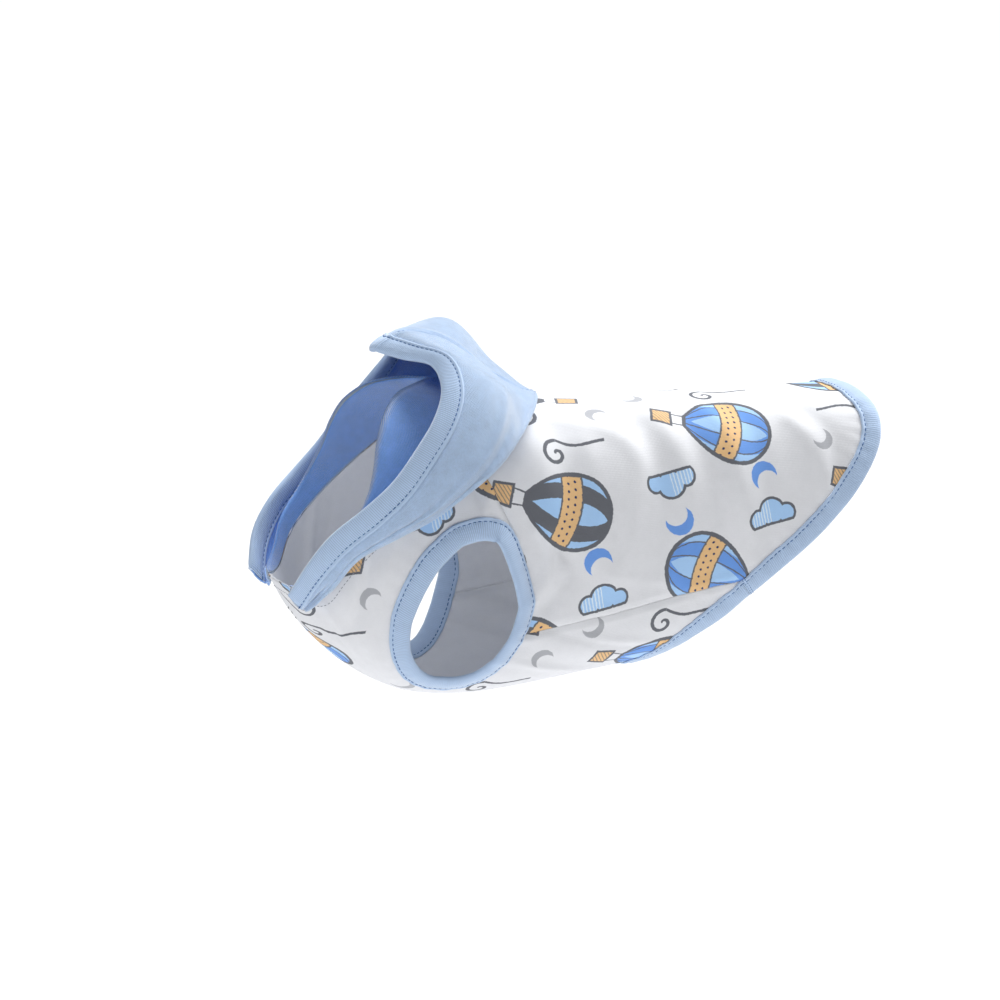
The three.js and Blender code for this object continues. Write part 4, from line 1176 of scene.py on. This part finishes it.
# %% The print
PRINT_SCALE = 1.22       # motif millimetres to cloth millimetres
REPEAT = (66.0, 56.0)    # one cell of the half-drop repeat
PLACES = {               # degrees turned and place in the cell
    "balloon": (-74.0, (8.5, 2.4)), "cloud": (-12, (-20, 20.5)), "blue_moon": (30, (17, 20.5)),
    "grey_moon": (200, (-24, -20)), "curl": (8, (4, -19))}
BLUE_MOON, GREY_MOON = 5.2, 4.2       # radii
ROUGH_SCALE, ROUGH_SHAKE = 700.0, 0.5     # how the ink wanders from stitch to stitch


def print_group():
    tree, given, result = new_tree("ShaderNodeTree", "balloon_print",
                                   {"Flat": "Vector", "Rough": "Vector"}, {"Color": "Color"})
    rough = node(tree, "ShaderNodeTexNoise", {"Vector": given["Rough"], "Scale": ROUGH_SCALE,
                                              "Detail": 2.0})
    wander = node(tree, "ShaderNodeVectorMath", {0: rough.outputs["Color"], 1: (0.5, 0.5, 0.5)},
                  operation="SUBTRACT")
    shake = node(tree, "ShaderNodeVectorMath", {0: wander.outputs[0], "Scale": ROUGH_SHAKE},
                 operation="SCALE")
    flat = node(tree, "ShaderNodeVectorMath", {0: given["Flat"], "Scale": 1 / MM / PRINT_SCALE},
                operation="SCALE")
    place = node(tree, "ShaderNodeVectorMath", {0: flat.outputs[0], 1: shake.outputs[0]},
                 operation="ADD")
    parts = node(tree, "ShaderNodeSeparateXYZ", {0: place.outputs[0]})
    u, v = Term(tree, parts.outputs[0]), Term(tree, parts.outputs[1])
    column = (u / REPEAT[0]).made("FLOOR")
    odd = abs(column.made("MODULO", 2.0))
    v = v + odd * (REPEAT[1] / 2)
    row_odd = abs((v / REPEAT[1]).made("FLOOR").made("MODULO", 2.0))
    x = ((u / REPEAT[0]).made("FRACT") - 0.5) * REPEAT[0]
    y = ((v / REPEAT[1]).made("FRACT") - 0.5) * REPEAT[1]
    facing = abs(odd - row_odd) * -2.0 + 1
    x, y = x * facing, y * facing
    colour = balloon(tree, one_colour(tree, WHITE_CLOTH), *turned(x, y, *PLACES["balloon"]), odd)
    colour = cloud(tree, colour, *turned(x, y, *PLACES["cloud"]))
    colour = moon(tree, colour, *turned(x, y, *PLACES["blue_moon"]), MID_BLUE, BLUE_MOON)
    colour = moon(tree, colour, *turned(x, y, *PLACES["grey_moon"]), GREY, GREY_MOON)
    colour = curl(tree, colour, *turned(x, y, *PLACES["curl"]))
    tree.links.new(colour, result["Color"])
    return tree


# %% Knit relief
STITCH_LEAN = 0.9      # how far the legs of a knit stitch lean
KNIT = {"column": 0.5, "loop": 0.22, "fibres": 0.5}     # shares of the relief
FUZZ = {"fibres": 0.6, "mottle": 0.8, "column": 0.12}   # shares of the unevenness of the colour
FIBRE_SCALE, MOTTLE_SCALE = 1400.0, 240.0


def knit_group():
    tree, given, result = new_tree("ShaderNodeTree", "jersey_knit",
                                   {"Flat": "Vector", "Body": "Vector", "Wale": "Float",
                                    "Course": "Float"}, {"Height": "Float", "Fuzz": "Float"})
    parts = node(tree, "ShaderNodeSeparateXYZ", {0: given["Flat"]})
    wale = Term(tree, parts.outputs[1]) / Term(tree, given["Wale"])
    course = Term(tree, parts.outputs[0]) / Term(tree, given["Course"])
    lean = abs(wale.made("FRACT") - 0.5)
    column = abs((wale * math.pi).made("SINE"))
    loop = ((course + lean * STITCH_LEAN) * (2 * math.pi)).made("SINE")
    fine, broad = (node(tree, "ShaderNodeTexNoise", {"Vector": given["Body"], "Scale": scale,
                                                     "Detail": detail})
                   for scale, detail in ((FIBRE_SCALE, 3.0), (MOTTLE_SCALE, 4.0)))
    fibres, mottle = Term(tree, fine.outputs[0]), Term(tree, broad.outputs[0])
    height = column * KNIT["column"] + loop * KNIT["loop"] + fibres * KNIT["fibres"]
    tree.links.new(height.socket, result["Height"])
    tone_change = ((fibres - 0.5) * FUZZ["fibres"] + (mottle - 0.5) * FUZZ["mottle"]
            + column * FUZZ["column"])
    tree.links.new(tone_change.socket, result["Fuzz"])
    return tree


balloon_print, jersey_knit = print_group(), knit_group()
print("print:", len(balloon_print.nodes), "nodes; knit:", len(jersey_knit.nodes), "nodes")

# %% Cloth materials
WALE, COURSE = 0.75, 0.6           # knit pitch across and along, in millimetres
PLAIN_BLUE, RIB_BLUE = (0.43, 0.57, 0.785), (0.44, 0.57, 0.77)
INSIDE_PAINTED_SHADE_BLUE = (0.19, 0.38, 0.85)   # the hood's inner face, painted a deeper, more saturated blue as painted shade for its hollow
SPECULAR, SHEEN_ROUGHNESS = 0.2, 0.42
RIB_FUZZ, RIB_PAINTED_SHADE = 0.12, 0.2    # how the fuzz lightens and darkens the binding, and painted shade on the ribs: lighter crests, darker grooves
TWIST_SCALE = 2500.0               # twist of the thread
THREADS = {"blue_thread": (0.075, 0.16, 0.36), "pale_thread": (0.2, 0.34, 0.62),
           "grey_thread": (0.3, 0.31, 0.35)}


def cloth_material(name, roughness, sheen):
    """Material with a cloth shader, and the sockets that a cloth finish reads."""
    material = bpy.data.materials.new(name)
    material.use_nodes = True
    tree = material.node_tree
    shader = tree.nodes["Principled BSDF"]
    shader.inputs["Roughness"].default_value = roughness
    shader.inputs["Specular IOR Level"].default_value = SPECULAR
    shader.inputs["Sheen Weight"].default_value = sheen
    shader.inputs["Sheen Roughness"].default_value = SHEEN_ROUGHNESS
    flat = node(tree, "ShaderNodeUVMap", uv_map="cloth").outputs[0]
    body = node(tree, "ShaderNodeTexCoord").outputs["Object"]
    return material, tree, shader, flat, body


def shade_by(tree, colour, tone_change, amount):
    """Colour made lighter and darker by a value round zero."""
    factor = Term(tree, tone_change) * amount + 1
    scaled = node(tree, "ShaderNodeVectorMath", {0: colour, "Scale": factor.socket},
                  operation="SCALE")
    return scaled.outputs[0]


def add_relief(tree, shader, height, distance, strength):
    bump = node(tree, "ShaderNodeBump", {"Height": height, "Distance": distance * MM,
                                         "Strength": strength})
    tree.links.new(bump.outputs[0], shader.inputs["Normal"])


def inner_face(tree):
    return node(tree, "ShaderNodeAttribute", attribute_name="inner").outputs["Fac"]


def knit_of(tree, flat, body):
    return node(tree, "ShaderNodeGroup", {"Flat": flat, "Body": body, "Wale": WALE * MM,
                                          "Course": COURSE * MM}, node_tree=jersey_knit)


def printed_jersey():
    material, tree, shader, flat, body = cloth_material("printed_jersey", roughness=0.88, sheen=0.12)
    face = node(tree, "ShaderNodeGroup", {"Flat": flat, "Rough": body}, node_tree=balloon_print)
    colour = paint(tree, face.outputs[0], WHITE_CLOTH, Term(tree, inner_face(tree)))
    knit = knit_of(tree, flat, body)
    tree.links.new(shade_by(tree, colour, knit.outputs["Fuzz"], amount=0.09),
                   shader.inputs["Base Color"])
    add_relief(tree, shader, knit.outputs["Height"], distance=0.12, strength=0.5)
    return material


def plain_jersey():
    material, tree, shader, flat, body = cloth_material("plain_jersey", roughness=0.85, sheen=1.0)
    # The hood's inner face gets the deeper blue of painted shade.
    colour = paint(tree, one_colour(tree, PLAIN_BLUE), INSIDE_PAINTED_SHADE_BLUE, Term(tree, inner_face(tree)))
    knit = knit_of(tree, flat, body)
    tree.links.new(shade_by(tree, colour, knit.outputs["Fuzz"], amount=0.42),
                   shader.inputs["Base Color"])
    add_relief(tree, shader, knit.outputs["Height"], distance=0.25, strength=1.0)
    return material


def ribbed_knit():
    material, tree, shader, flat, body = cloth_material("ribbed_binding", roughness=0.85, sheen=0.8)
    knit = knit_of(tree, flat, body)
    wave = node(tree, "ShaderNodeAttribute", attribute_name="rib_wave").outputs["Fac"]
    # Random fuzz, plus painted shade from the ribs' wave: crests lighter, grooves darker.
    tone_change = Term(tree, knit.outputs["Fuzz"]) * RIB_FUZZ + Term(tree, wave) * RIB_PAINTED_SHADE
    tree.links.new(shade_by(tree, one_colour(tree, RIB_BLUE), tone_change.socket, amount=1.0),
                   shader.inputs["Base Color"])
    add_relief(tree, shader, knit.outputs["Height"], distance=0.1, strength=0.4)
    return material


def thread(name, colour):
    material, tree, shader, _, body = cloth_material(name, roughness=0.6, sheen=0.1)
    twist = node(tree, "ShaderNodeTexNoise", {"Vector": body, "Scale": TWIST_SCALE})
    spread = Term(tree, twist.outputs[0]) - 0.5
    tree.links.new(shade_by(tree, one_colour(tree, colour), spread.socket, amount=0.5),
                   shader.inputs["Base Color"])
    return material


printed, plain, ribbed = printed_jersey(), plain_jersey(), ribbed_knit()
blue_thread, pale_thread, grey_thread = (thread(name, colour) for name, colour in THREADS.items())
for piece, material in ((back_panel, printed), (chest_panel, printed), (hood_left, plain),
                        (hood_right, plain)):
    piece.data.materials.append(material)
for piece in bindings.values():
    run_tree(rib_relief, piece, {"Depth": RIB_DEPTH * MM, "Material": ribbed})
print("materials:", *(m.name for m in (printed, plain, ribbed)), *THREADS)

# %% Topstitch on the bindings, the neck and the crown
STITCH = {"pitch": 2.4, "length": 1.7, "thread": 0.26, "arch": 0.4}
NECK_STITCH = {"pitch": 2.0, "length": 1.2, "thread": 0.15, "arch": 0.26}
CROWN_STITCH = {"pitch": 2.0, "length": 1.3, "thread": 0.15, "arch": 0.3}
TACK = {"pitch": 1.1, "length": 0.9, "thread": 0.2, "arch": 0.3}
TACK_STATIONS = (4, 9)    # the tack's rows, in stations from the end of the back hem's strip
TACK_SPAN = np.linspace(0.05, 0.9, 14)    # shares of the strip's width
NECK_STITCH_IN = 5.0      # neck topstitch to neck seam
NECK_STITCH_FROM = 0.3    # share of the neck seam where it comes out from under the hood
CROWN_STITCH_AT = -1.7    # crown topstitch to crown seam
THREAD_LIFT = WALL / 2 + 0.05     # thread over the middle of the cloth


def strip_rows(name):
    """The topstitch of one binding, on its outer and its inner face."""
    stations, closed = strip_stations[name]
    rows = []
    for side in (1, -1):
        at = on_strip(stations, [STITCH_LINE[0]], [STITCH_LINE[1] * side])[:, 0]
        keep = slice(0, -1, 3) if closed else slice(2, -2, 3)
        rows.append((at[keep], stations[1][keep] * side, closed))
    return rows


def tack_row(name, station):
    """A row of stitches across the outer face of a strip at one of its stations."""
    stations, _ = strip_stations[name]
    heights = np.interp(TACK_SPAN, *SECTION[1:-1].T)
    at = on_strip([s[[station]] for s in stations], TACK_SPAN, heights)[0]
    return at, np.repeat(stations[1][[station]], len(at), 0), False


binding_stitches = stitches("binding_topstitch", [r for n in bindings for r in strip_rows(n)],
                            **STITCH, material=blue_thread)
last_station = len(strip_stations["back_hem_binding"][0][0]) - 1
tack_at = (*TACK_STATIONS, *(last_station - k for k in reversed(TACK_STATIONS)))
bar_tack = stitches("hem_bar_tack", [tack_row("back_hem_binding", k) for k in tack_at],
                    **TACK, material=blue_thread)
neck_run = np.linspace(neck["total"] * NECK_STITCH_FROM, neck["total"] - 1, 220)
neck_at, neck_through = on_body(beside(neck, neck_run, -NECK_STITCH_IN), THREAD_LIFT)
neck_stitches = stitches("neck_topstitch", [(neck_at, neck_through, False),
                                            (mirror(neck_at), mirror(neck_through), False)],
                         **NECK_STITCH, material=grey_thread)


def beside_crown(grid, distance):
    """Values of a grid of the hood along a line beside the crown seam."""
    near = slice(0, CROWN_ROW + 1)
    return np.array([[np.interp(distance, past_seam[near, j], grid[near, j, k]) for k in range(3)]
                     for j in range(FOLD_COLUMN + 4, outer.shape[1] - HOOD_FINE["band"] - 2)])


crown_through = unit(beside_crown(hood_through, CROWN_STITCH_AT))
crown_at = beside_crown(hood_points, CROWN_STITCH_AT) + crown_through * THREAD_LIFT
crown_stitches = stitches("crown_topstitch", [(crown_at, crown_through, False)],
                          **CROWN_STITCH, material=pale_thread)

# %% [markdown]
# ## Seating the pieces on the frame
# Each cloth piece stands for one imported solid and rides on its body. The panels' flat sizes are
# given; their cloth areas and the bindings' widths are measured from the pieces and printed.

# %% Ride and replace
def flat_area(piece):
    """Half the area of a closed wall, in square metres."""
    return sum(p.area for p in piece.data.polygons) / 2


def seat(piece, node_name=None):
    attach(piece, "root")
    if node_name:
        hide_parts(node_name)


panels = {"back_panel": (back_panel, "printed_jersey", (0.275, 0.19)),
          "chest_panel": (chest_panel, "printed_jersey", (0.235, 0.24)),
          "hood_left": (hood_left, "plain_jersey", (0.125, 0.15)),
          "hood_right": (hood_right, "plain_jersey", (0.125, 0.15))}
for name, (piece, slot_name, flat) in panels.items():
    seat(piece, name)
    area = flat_area(piece)
    print(name, "flat", flat, "m, cloth area", round(area, 4), "m2")
    "stretched" if "panel" in name else "folded"
    min(area, flat[0] * flat[1])
for name, piece in bindings.items():
    seat(piece, name)
    print(name, "strip", round(flat_area(piece) / (strip_lengths[name] * MM) / MM), "mm wide")
for piece in (binding_stitches, bar_tack, neck_stitches, crown_stitches):
    seat(piece)

# %% [markdown]
# ## Stage, light and camera
# A large pale floor and a white surround, with a broad light overhead and a weak one from the front.
# The floor lies low, so the top's shadow falls outside the picture. The camera stands where the
# photograph was taken from: 20 degrees toward the neck from a square side view and 10.5 degrees up.

# %% Floor and surround
FLOOR_Z, FLOOR_REACH = -0.34, 6     # height, and how far it goes each way, in metres
FLOOR_COLOUR, SURROUND_COLOUR = (0.75, 0.75, 0.755, 1), (0.97, 0.985, 1, 1)
TARGET = (-46.8, 0.0, -42.8)        # the camera and the lamp are aimed here, in millimetres


def stage_floor():
    mesh = bpy.data.meshes.new("floor")
    corners = [(FLOOR_REACH * x, FLOOR_REACH * y, FLOOR_Z) for x, y in ((-1, -1), (1, -1), (1, 1),
                                                                       (-1, 1))]
    mesh.from_pydata(corners, [], [(0, 1, 2, 3)])
    floor = new_object("floor", mesh)
    material = bpy.data.materials.new("pale_floor")
    material.use_nodes = True
    shader = material.node_tree.nodes["Principled BSDF"]
    shader.inputs["Base Color"].default_value = FLOOR_COLOUR
    shader.inputs["Roughness"].default_value = 0.9
    mesh.materials.append(material)


def surround(seen, light):
    """White to the camera, and weaker as light."""
    world = bpy.data.worlds.new("surround")
    bpy.context.scene.world = world
    world.use_nodes = True
    tree = world.node_tree
    background = tree.nodes["Background"]
    background.inputs["Color"].default_value = SURROUND_COLOUR
    ray = node(tree, "ShaderNodeLightPath").outputs["Is Camera Ray"]
    strength = node(tree, "ShaderNodeMapRange", {0: ray, 3: light, 4: seen})
    tree.links.new(strength.outputs[0], background.inputs["Strength"])


def daylight(name, place, spread, strength):
    """Broad even light from far off in the direction of a place."""
    light = bpy.data.lights.new(name, "SUN")
    light.angle, light.energy = math.radians(spread), strength
    holder = new_object(name, light)
    holder.rotation_euler = (-Vector(place)).to_track_quat("-Z", "Y").to_euler()


def lamp(name, place, size, watts):
    """Square soft light aimed at the top."""
    light = bpy.data.lights.new(name, "AREA")
    light.size, light.energy = size, watts
    holder = new_object(name, light)
    holder.location = place
    holder.rotation_euler = (Vector(TARGET) * MM - Vector(place)).to_track_quat("-Z", "Y").to_euler()


stage_floor()
surround(seen=1.05, light=0.21)
daylight("overhead", place=(0.6, 0.3, 1.0), spread=35, strength=5.2)
lamp("front", place=(-0.8, -0.7, 1.1), size=0.8, watts=5.5)
print("floor at", FLOOR_Z, "m, with a surround and", len(bpy.data.lights), "lights")

# %% Camera
AZIMUTH, ELEVATION, DISTANCE = -20.0, 10.5, 1500.0
FRAME_WIDTH = 440.0              # millimetres across the picture at the target
azimuth, elevation = math.radians(AZIMUTH), math.radians(ELEVATION)
toward_camera = Vector((math.sin(azimuth) * math.cos(elevation),
                        -math.cos(azimuth) * math.cos(elevation), math.sin(elevation)))
lens = bpy.data.cameras.new("camera")
lens.sensor_width = 36.0
lens.lens = lens.sensor_width * DISTANCE / FRAME_WIDTH
lens.clip_start, lens.clip_end = 0.05, 40
camera = new_object("camera", lens)
camera.location = (Vector(TARGET) + toward_camera * DISTANCE) * MM
camera.rotation_euler = (-toward_camera).to_track_quat("-Z", "Y").to_euler()
bpy.context.scene.camera = camera
bpy.context.scene.view_settings.view_transform = "Standard"
print("camera", DISTANCE, "mm away with a lens of", round(lens.lens, 1), "mm")
